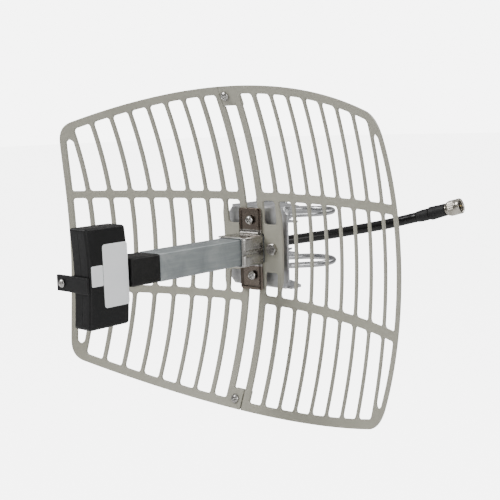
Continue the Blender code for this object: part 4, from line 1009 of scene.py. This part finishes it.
g = Geo()
hoop_sheet(g)
for x0, x1, z0, z1, s in ((-12.2, 10.6, cu_ + 0.3, TAB_TOP, 1), (-12.6, 10.0, TAB_BOT, cb - 0.3, -1)):
    slab(g, [rounded([(x0, z0), (x1, z0), (x1, z1), (x0, z1)], [0.3, 0.3, 2.6, 2.6] if s > 0 else [2.6, 2.6, 0.3, 0.3],
                     6)], tab_t, 0.35, on_y(f_y0))
    # bend where the strip turns up into the tab
    zf = cu_ + ct if s > 0 else cb - ct
    br = 2.4
    rows = []
    for i in range(9):
        a = math.radians(90 * i / 8)
        rows.append([(x0 + 0.35 + (x1 - x0 - 0.7) * k / 10, f_y0 - br + br * math.sin(a), zf + s * (br - br * math.cos(a)))
                     for k in range(11)])
    g.rings(rows, closed=False, flip=s < 0)
g.make("arm_clamp_right_part", T_DISH, "clamp_steel", "dish", ("arm_clamp_right",))

g = Geo()
slab(g, [rounded([(C_Y0, cb + 0.3), (tab_y1 - 0.2, cb + 0.3), (tab_y1 - 0.2, cu_ - 0.3), (C_Y0, cu_ - 0.3)], 1.2, 4)],
     ct, 0.4, on_x(cl0 - ct))
for s in (1, -1):
    z_in, z_foot, z_out = ((cu_ - 1.6, cu_ + ct + GAP + 0.2, TAB_TOP + 0.2) if s > 0 else
                           (cb + 1.6, cb - ct - GAP - 0.2, TAB_BOT - 0.2))
    lp = [(cl0 - ct - 0.2, z_in), (cl0 - ct - 0.2, z_out), (12.8, z_out), (12.8, z_foot),
          (cl0 - 0.3, z_foot), (cl0 - 0.3, z_in)]
    slab(g, [rounded(lp, [0.3, 2.4, 2.4, 0.4, 0.3, 0.3], 5)], tab_t, 0.35, on_y(tab_y1 - tab_t))
g.make("arm_clamp_left_part", T_DISH, "clamp_steel", "dish", ("arm_clamp_left",))
for tag, x, z in (("upper", 0.2, 26.0), ("lower", 1.6, -26.0)):
    screw_piece("clamp_screw_" + tag, 4.3, 2.6, 2.35, 18.0, (x, f_y0 - GAP, z), FRONT, T_DISH, "dish",
                "stainless_hardware")
    nut_piece("clamp_nut_" + tag, 8.0, 4.0, 2.35, (x, WEB_Y + SHEET + GAP, z), BACK, T_DISH, "dish",
              "stainless_hardware")

# ------------------------------------------------------------------- feed head
g = Geo()
ring = rect(ax0, ax1, az0, az1, 2.0, 5, 1.2)
rows = []
y_end = ARM_Y0 - GAP
ny = 44
for i in range(ny + 1):
    t = i / ny
    y = NECK_Y0 + (y_end - NECK_Y0) * t
    row = []
    for x, z in ring:
        wob = noise.noise(Vector((x * 0.16, y * 0.13, z * 0.16))) * 0.32 - 0.20
        wob += noise.noise(Vector((x * 0.5, y * 0.5, z * 0.5 + 9))) * 0.08
        edge = min(smooth01(i / 2.0), smooth01((ny - i) / 2.0))
        wob -= 0.5 * (1 - edge)
        d = Vector((x - ARM_X, z - ARM_Z)).normalized()
        row.append((x + d.x * wob, y, z + d.y * wob))
    rows.append(row)
g.rings(rows, cap0=True, cap1=True, flip=True)
NK = GAP + 0.2
slab(g, [rect(ax0 + w + NK, ax1 - w - NK, az0 + w + NK, az1 - w - NK, 0.8, 3), circle(CABLE_R + GAP, 24)],
     18.0, 0.3, on_y(ARM_Y0 - 5))
slab(g, [rect(-7.6, 7.6, -9.5, 9.5, 0.8, 3), circle(CABLE_R + GAP, 24)], 12.0, 0.3, on_y(NECK_Y0 - 8))
g.make("feed_sleeve_part", T_DISH, "sleeve_plastic", "dish", ("feed_sleeve",))

mid_z, half_z = (HEAD_Z0 + HEAD_Z1) / 2, (HEAD_Z1 - HEAD_Z0) / 2


def bow(z):
    return HEAD_BOW * (1 - ((z - mid_z) / half_z) ** 2)


def shell_piece(name, side):
    """One moulded half of the head: outer skin, inner skin and the joint face between them."""
    def skin(inset, cr, er):
        h = HEAD_X - inset
        lo, hi = HEAD_Z0 + inset, HEAD_Z1 - inset
        levels = []
        for i in range(6):
            a = math.pi / 2 * i / 5
            levels.append((lo + er * (1 - math.sin(a)), er * (1 - math.cos(a))))
        levels = [(lo + er * (1 - math.cos(a)), er * (1 - math.sin(a))) for a in
                  [math.pi / 2 * i / 5 for i in range(6)]]
        levels += [(lo + er + (hi - lo - 2 * er) * i / 24, 0.0) for i in range(1, 24)]
        levels += [(hi - er * (1 - math.cos(a)), er * (1 - math.sin(a))) for a in
                   [math.pi / 2 * (5 - i) / 5 for i in range(6)]]
        rows_ = []
        for z, e in levels:
            f, b, x1 = HEAD_Y0 + bow(z) + inset + e, HEAD_Y1 + bow(z) - inset - e, h - e
            c = max(0.3, cr - e * 0.6)
            pts = [(GAP / 2, f)]
            pts += [(x1 - c + c * math.sin(math.pi / 2 * k / 6), f + c - c * math.cos(math.pi / 2 * k / 6))
                    for k in range(7)]
            pts += [(x1, f + c + (b - f - 2 * c) * k / 8) for k in range(1, 8)]
            pts += [(x1 - c + c * math.cos(math.pi / 2 * k / 6), b - c + c * math.sin(math.pi / 2 * k / 6))
                    for k in range(7)]
            pts += [(GAP / 2, b)]
            rows_.append([(side * x, y, z) for x, y in pts])
        return rows_

    g = Geo()
    out = skin(0.0, 2.4, 2.2)
    inn = skin(HEAD_WALL, 0.9, 0.6)
    g.rings(out, closed=False, flip=side < 0)
    g.rings(inn, closed=False, flip=side > 0)
    n = len(out[0])
    for rows_, s in ((out, 1), (inn, -1)):
        for k, up_ in ((0, -1), (-1, 1)):
            rr = rows_[k]
            c = Vector((side * GAP / 2, (HEAD_Y0 + HEAD_Y1) / 2 + bow(rr[0][2]), rr[0][2]))
            vs = list(rr) + [c]
            g.add(vs, [(i, i + 1, n) for i in range(n - 1)], [Vector((0, 0, up_ * s))] * (n + 1))
    # joint face between the outer and inner skins
    o = [r[0] for r in out] + [r[-1] for r in reversed(out)]
    i_ = [r[0] for r in inn] + [r[-1] for r in reversed(inn)]
    k = len(o)
    g.add(o + i_, [(a, (a + 1) % k, k + (a + 1) % k, k + a) for a in range(k)],
          [Vector((-side, 0, 0))] * (2 * k))
    g.make(name + "_part", T_DISH, "black_plastic", "dish", (name,))


shell_piece("feed_shell_right", 1)
shell_piece("feed_shell_left", -1)

sy = HEAD_Y0 + bow(STRAP_Z0) - GAP
strap = [(STRAP_X0, sy - 2.2), (STRAP_X1, sy - 1.7), (STRAP_X1, sy), (-HEAD_X - GAP, sy),
         (-HEAD_X - GAP, sy + 16.0), (-HEAD_X - GAP - 1.4, sy + 16.0), (-HEAD_X - GAP - 1.4, sy + 0.6),
         (STRAP_X0, sy + 0.4)]
g = Geo()
slab(g, [rounded(strap, 0.6, 4)], STRAP_Z1 - STRAP_Z0, 0.5, on_z(STRAP_Z0), 3)
g.make("housing_strap_part", T_DISH, "black_plastic", "dish", ("housing_strap",))
ear_x, ear_z = -21.3, -5.4
screw_piece("housing_screw", 3.5, 2.2, 1.7, 8.0, (ear_x, sy - 2.2 - GAP, ear_z), FRONT, T_DISH, "dish",
            "stainless_hardware")
nut_piece("housing_nut", 6.4, 2.6, 1.7, (ear_x, sy + 0.6 + GAP, ear_z), BACK, T_DISH, "dish", "stainless_hardware")

for node, y0, y1, z0, z1, r in (("label_large", -188.3, -163.2, -25.0, 25.4, 2.4),
                                ("label_small", -200.0, -188.7, -6.8, 9.5, 1.0)):
    g = Geo()
    slab(g, [rounded([(y0, z0), (y1, z0), (y1, z1), (y0, z1)], r, 8)], 0.2, 0.06, on_x(HEAD_X + 0.1))
    g.make(node + "_film", T_DISH, "label_film", "dish", (node,))

# --------------------------------------------------------------------- cabling
g = Geo()
lathe(g, [(CABLE_R + 0.3, 2.6), (9.6, 2.6), (9.6, 0.3), (7.7, 0.3), (7.7, -SHEET - 0.3), (9.6, -SHEET - 0.3),
          (9.6, -SHEET - 1.9), (CABLE_R + 0.3, -SHEET - 1.9), (CABLE_R + 0.3, 2.6)], 56,
      at((0, WEB_Y + SHEET, 0), BACK), 0.5)
g.make("cable_grommet_part", T_DISH, "cable_rubber", "dish", ("cable_grommet",))


def smooth_route(pts, step):
    """Centripetal spline through pts, sampled about every step mm."""
    p = [Vector(q) for q in pts]
    p = [p[0] * 2 - p[1]] + p + [p[-1] * 2 - p[-2]]
    dense = []
    for i in range(1, len(p) - 2):
        a, b, c, d = p[i - 1:i + 3]
        t0 = 0.0
        t1 = t0 + math.sqrt((b - a).length)
        t2 = t1 + math.sqrt((c - b).length)
        t3 = t2 + math.sqrt((d - c).length)
        for k in range(24):
            t = t1 + (t2 - t1) * k / 24
            A1 = a * ((t1 - t) / (t1 - t0)) + b * ((t - t0) / (t1 - t0))
            A2 = b * ((t2 - t) / (t2 - t1)) + c * ((t - t1) / (t2 - t1))
            A3 = c * ((t3 - t) / (t3 - t2)) + d * ((t - t2) / (t3 - t2))
            B1 = A1 * ((t2 - t) / (t2 - t0)) + A2 * ((t - t0) / (t2 - t0))
            B2 = A2 * ((t3 - t) / (t3 - t1)) + A3 * ((t - t1) / (t3 - t1))
            dense.append(B1 * ((t2 - t) / (t2 - t1)) + B2 * ((t - t1) / (t2 - t1)))
    dense.append(p[-2])
    total = sum((y - x).length for x, y in zip(dense, dense[1:]))
    n = max(2, round(total / step))
    out, want, done = [dense[0]], total / n, 0.0
    for x, y in zip(dense, dense[1:]):
        seg = (y - x).length
        while done + seg >= want * len(out) - 1e-9 and len(out) < n:
            out.append(x.lerp(y, (want * len(out) - done) / seg))
        done += seg
    out.append(dense[-1])
    return out


cdir = Vector(CONN_DIR).normalized()
route = smooth_route(list(CABLE_ROUTE) + [CABLE_END], 3.0)
start = Vector(CABLE_ROUTE[0])
route = [start, start + Vector((0, 3.0, 0))] + route[2:-2] + [Vector(CABLE_END) - cdir * 3.0, Vector(CABLE_END)]
route_m = [(T_DISH @ p) * MM for p in route]
cu = bpy.data.curves.new("pigtail", 'CURVE')
cu.dimensions = '3D'
cu.bevel_depth = CABLE_R * MM
cu.bevel_resolution = 8
cu.use_fill_caps = True
sp = cu.splines.new('POLY')
sp.points.add(len(route_m) - 1)
for q, p in zip(sp.points, route_m):
    q.co = (*p, 1.0)
sp.use_smooth = True
cu.materials.append(MAT["cable_jacket"])
pigtail = bpy.data.objects.new("pigtail", cu)
sc.collection.objects.link(pigtail)
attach(pigtail, "dish")
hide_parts("pigtail_cable")

conn_m = Matrix.Translation(Vector(CABLE_END)) @ cdir.to_track_quat('Z', 'Y').to_matrix().to_4x4()


def conn_at(d):
    return conn_m @ Matrix.Translation((0, 0, d))


def tube_piece(node, d, length, r_of, mat, seed, body="dish", rows_=40, amp=0.16):
    """Shrunk tube with a slightly uneven skin and turned-in ends."""
    g = Geo()
    segs = 64
    rings = [[(0.6 * r_of(0) * math.cos(2 * math.pi * i / segs), 0.6 * r_of(0) * math.sin(2 * math.pi * i / segs), 0)
              for i in range(segs)]]
    for k in range(rows_ + 1):
        t = k / rows_
        z = length * t
        end = min(1.0, math.sqrt(max(0.0, min(z, length - z) / 0.7)))
        row = []
        for i in range(segs):
            a = 2 * math.pi * i / segs
            v = Vector((math.cos(a) * 1.1, math.sin(a) * 1.1, z * 0.16 + seed))
            q = r_of(t) - 0.45 * (1 - end) + amp * (noise.noise(v * 1.4) - 0.4) + amp * 0.5 * noise.noise(v * 4.0)
            row.append((q * math.cos(a), q * math.sin(a), z))
        rings.append(row)
    rings.append([(0.6 * r_of(1) * math.cos(2 * math.pi * i / segs), 0.6 * r_of(1) * math.sin(2 * math.pi * i / segs),
                   length) for i in range(segs)])
    g.rings(rings, cap0=True, cap1=True, m=conn_at(d))
    return g.make(node + "_part", T_DISH, mat, body, (node,))


shrink = tube_piece("shrink_tube", GAP, 13.4, lambda t: 5.25 + 0.35 * smooth01(t * 2.2), "cable_rubber", 3.0)
boot = tube_piece("boot_sleeve", 13.4 + 2 * GAP, 16.4, lambda t: 6.4 - 0.55 * smooth01((t - 0.15) * 1.3), "cable_rubber",
                  11.0, amp=0.12)
c0 = 13.4 + 16.4 + 3 * GAP
g = Geo()
lathe(g, [(0.01, 11.4), (2.2, 11.4), (2.2, 4.4), (3.9, 4.4), (3.9, 13.0), (4.7, 13.0), (4.7, 1.4), (4.9, 1.4),
          (4.9, 0), (0.01, 0)], 56, conn_at(c0), 0.18)
conn_body = g.make("connector_body_part", T_DISH, "nickel", "dish", ("connector_body",))
g = Geo()
lathe(g, [(0.01, 15.0), (0.45, 14.6), (0.7, 13.8), (0.7, 11.7), (0.01, 11.7)], 32, conn_at(c0), 0.1)
pin = g.make("contact_pin_part", T_DISH, "brass", "dish", ("contact_pin",))

nut_at = c0 + 1.4 + GAP


def knurl(r, a, z):
    """Straight knurl on the rear band of the coupling nut."""
    if r < 6.95 or not 2.2 < z < 8.3:
        return 0.0
    k = smooth01((z - 2.2) / 0.6) * smooth01((8.3 - z) / 0.6)
    return -0.34 * k * (0.5 + 0.5 * math.cos(a * 26))


g = Geo()
prof = [(5.0, 0.0), (6.3, 0.0), (6.3, 0.9), (6.7, 1.3), (7.0, 2.0)]
prof += [(7.24, 2.4 + i * 0.48) for i in range(13)]
prof += [(6.75, 8.7), (6.75, 9.5), (7.22, 9.9), (7.24, 12.6), (6.9, 13.3), (6.6, 13.4), (5.9, 13.4), (5.35, 12.9)]
z = 12.6
while z > 5.0:
    prof += [(5.22, z), (5.0, z - 0.25)]
    z -= 0.6
prof += [(5.0, 0.0)]
lathe(g, prof, 156, conn_at(nut_at), 0.0, knurl)
coupling = g.make("coupling_nut_part", T_DISH, "nickel", "coupling", ("coupling_nut",))

# ---------------------------------------------------------- mast-side hardware
ub_x = UB_IN + UB_ROD
bend_y = -(UB_IN - MAST_R) + GAP
for tag, z in (("upper", UB_Z[0]), ("lower", UB_Z[1])):
    pts = [(-ub_x, UB_LEG_END + 0.25 * i, z) for i in range(72)]
    n_leg = len(pts)
    last = pts[-1][1]
    pts += [(-ub_x, last + (bend_y - last) * i / 8, z) for i in range(1, 8)]
    pts += [(x, y, z) for x, y in arc(0, bend_y, ub_x, 180, 0, 56)]
    pts += [(ub_x, bend_y + (last - bend_y) * i / 8, z) for i in range(1, 8)]
    pts += [(ub_x, UB_LEG_END + 0.25 * i, z) for i in reversed(range(72))]
    total = len(pts)

    def rad(i, a, total=total, n_leg=n_leg):
        k = i if i < n_leg else total - 1 - i
        if k >= n_leg:
            return UB_ROD
        s = a / (2 * math.pi) * (1 if i < n_leg else -1)
        ph = (k * 0.25 / 1.0 - s) % 1.0
        lim = min(1.0, 0.74 + k * 0.25 / 1.2)
        depth = 0.34 * (1 - abs(2 * ph - 1)) if k < n_leg - 6 else 0.0
        return min(UB_ROD - depth, UB_ROD * lim)

    g = Geo()
    sweep(g, pts, rad, 28)
    g.make("u_bolt_" + tag + "_part", T_CLAMP, "zinc_hardware", "mast_mount", ("u_bolt_" + tag,))
    for sd, s in (("left", -1), ("right", 1)):
        y0 = MB_WEB_Y - SHEET - GAP
        washer_piece(f"u_washer_{tag}_{sd}", 6.0, UB_ROD + 0.35, 1.4, (s * ub_x, y0, z), FRONT, T_CLAMP,
                     "mast_mount", "zinc_hardware")
        nut_piece(f"u_nut_{tag}_{sd}", 10.0, 5.0, UB_ROD, (s * ub_x, y0 - 1.4 - GAP, z), FRONT, T_CLAMP,
                  "mast_mount", "zinc_hardware")
mx, my = PIVOT_CLAMP
for tag, rot, s in (("top", UP, 1), ("bottom", DOWN, -1)):
    bolt_piece("pivot_bolt_" + tag, 10.0, 3.8, 2.95, 13.4, (mx, my, s * (MB_Z + GAP)), rot, T_CLAMP, "mast_mount",
               "zinc_hardware", 0.8)
    nut_piece("pivot_nut_" + tag, 10.0, 5.0, 3.0, (mx, my, s * (BRKT_Z - SHEET - GAP - 5.0)), rot, T_CLAMP,
              "mast_mount", "zinc_hardware")

# CAD nodes that stay as they are get the finish of their slot
SLOT_MAT = {"sub_reflector": "arm_aluminium", "dipole_board": "circuit_board", "inner_coax": "cable_jacket"}
for name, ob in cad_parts.items():
    mat = MAT[SLOT_MAT.get(name, "zinc_hardware")]
    for s in ob.material_slots:
        s.material = mat
    if not ob.material_slots:
        ob.data.materials.append(mat)

# ---------------------------------------------------------------- floor, light
PALE = 6.5               # how bright the plain floor and backdrop look


def stage_material():
    m = bpy.data.materials.new("studio_floor")
    m.use_nodes = True
    t = m.node_tree
    b = t.nodes["Principled BSDF"]
    n = t.nodes.new("ShaderNodeTexNoise")
    n.inputs["Scale"].default_value = 1.5
    rp = t.nodes.new("ShaderNodeValToRGB")
    rp.color_ramp.elements[0].color = (0.86, 0.86, 0.86, 1)
    rp.color_ramp.elements[1].color = (0.90, 0.90, 0.90, 1)
    t.links.new(n.outputs["Fac"], rp.inputs["Fac"])
    t.links.new(rp.outputs["Color"], b.inputs["Base Color"])
    b.inputs["Roughness"].default_value = 0.9
    b.inputs["Specular IOR Level"].default_value = 0.1
    lit = t.nodes.new("ShaderNodeEmission")
    lit.inputs["Strength"].default_value = PALE * 0.80
    add = t.nodes.new("ShaderNodeAddShader")
    path = t.nodes.new("ShaderNodeLightPath")
    mix = t.nodes.new("ShaderNodeMixShader")
    t.links.new(b.outputs[0], add.inputs[0])
    t.links.new(lit.outputs[0], add.inputs[1])
    t.links.new(path.outputs["Is Camera Ray"], mix.inputs[0])
    t.links.new(b.outputs[0], mix.inputs[1])
    t.links.new(add.outputs[0], mix.inputs[2])
    t.links.new(mix.outputs[0], t.nodes["Material Output"].inputs["Surface"])
    return m


FLOOR_Z = -0.52
me = bpy.data.meshes.new("floor")
me.from_pydata([(-30, -30, FLOOR_Z), (30, -30, FLOOR_Z), (30, 30, FLOOR_Z), (-30, 30, FLOOR_Z)], [], [(0, 1, 2, 3)])
me.materials.append(stage_material())
floor = bpy.data.objects.new("floor", me)
sc.collection.objects.link(floor)

world = bpy.data.worlds.new("studio")
sc.world = world
world.use_nodes = True
wt = world.node_tree
bg = wt.nodes["Background"]
# soft room: bright above, dimmer at the sides; the backdrop itself is plain near-white
tc = wt.nodes.new("ShaderNodeTexCoord")
sep = wt.nodes.new("ShaderNodeSeparateXYZ")
wt.links.new(tc.outputs["Generated"], sep.inputs[0])
rp = wt.nodes.new("ShaderNodeValToRGB")
els = rp.color_ramp.elements
els[0].position, els[0].color = 0.0, (0.20, 0.20, 0.20, 1)
els[1].position, els[1].color = 1.0, (0.85, 0.85, 0.85, 1)
e = els.new(0.5)
e.color = (0.10, 0.10, 0.103, 1)
mr = wt.nodes.new("ShaderNodeMath")
mr.operation = 'MULTIPLY_ADD'
mr.inputs[1].default_value, mr.inputs[2].default_value = 0.5, 0.5
wt.links.new(sep.outputs["Z"], mr.inputs[0])
wt.links.new(mr.outputs[0], rp.inputs["Fac"])
wt.links.new(rp.outputs["Color"], bg.inputs["Color"])
bg.inputs["Strength"].default_value = 1.0
bg2 = wt.nodes.new("ShaderNodeBackground")
bg2.inputs["Color"].default_value = (1, 1, 1, 1)
bg2.inputs["Strength"].default_value = PALE
lp_ = wt.nodes.new("ShaderNodeLightPath")
mx_ = wt.nodes.new("ShaderNodeMixShader")
wt.links.new(lp_.outputs["Is Camera Ray"], mx_.inputs[0])
wt.links.new(bg.outputs[0], mx_.inputs[1])
wt.links.new(bg2.outputs[0], mx_.inputs[2])
wt.links.new(mx_.outputs[0], wt.nodes["World Output"].inputs["Surface"])


def area(name, loc, target, size, power, size_y=None):
    li = bpy.data.lights.new(name, 'AREA')
    li.energy = power
    li.size = size
    if size_y:
        li.shape = 'RECTANGLE'
        li.size_y = size_y
    ob = bpy.data.objects.new(name, li)
    sc.collection.objects.link(ob)
    ob.location = loc
    ob.rotation_euler = (Vector(target) - Vector(loc)).to_track_quat('-Z', 'Y').to_euler()
    return ob


area("key", (-0.9, -1.5, 1.5), (0, -0.1, 0), 1.1, 42.0)
area("fill", (1.7, -0.8, 0.5), (0, -0.1, 0), 1.0, 14.0)
area("back", (0.6, 1.4, 1.2), (0, -0.05, 0), 1.0, 16.0)
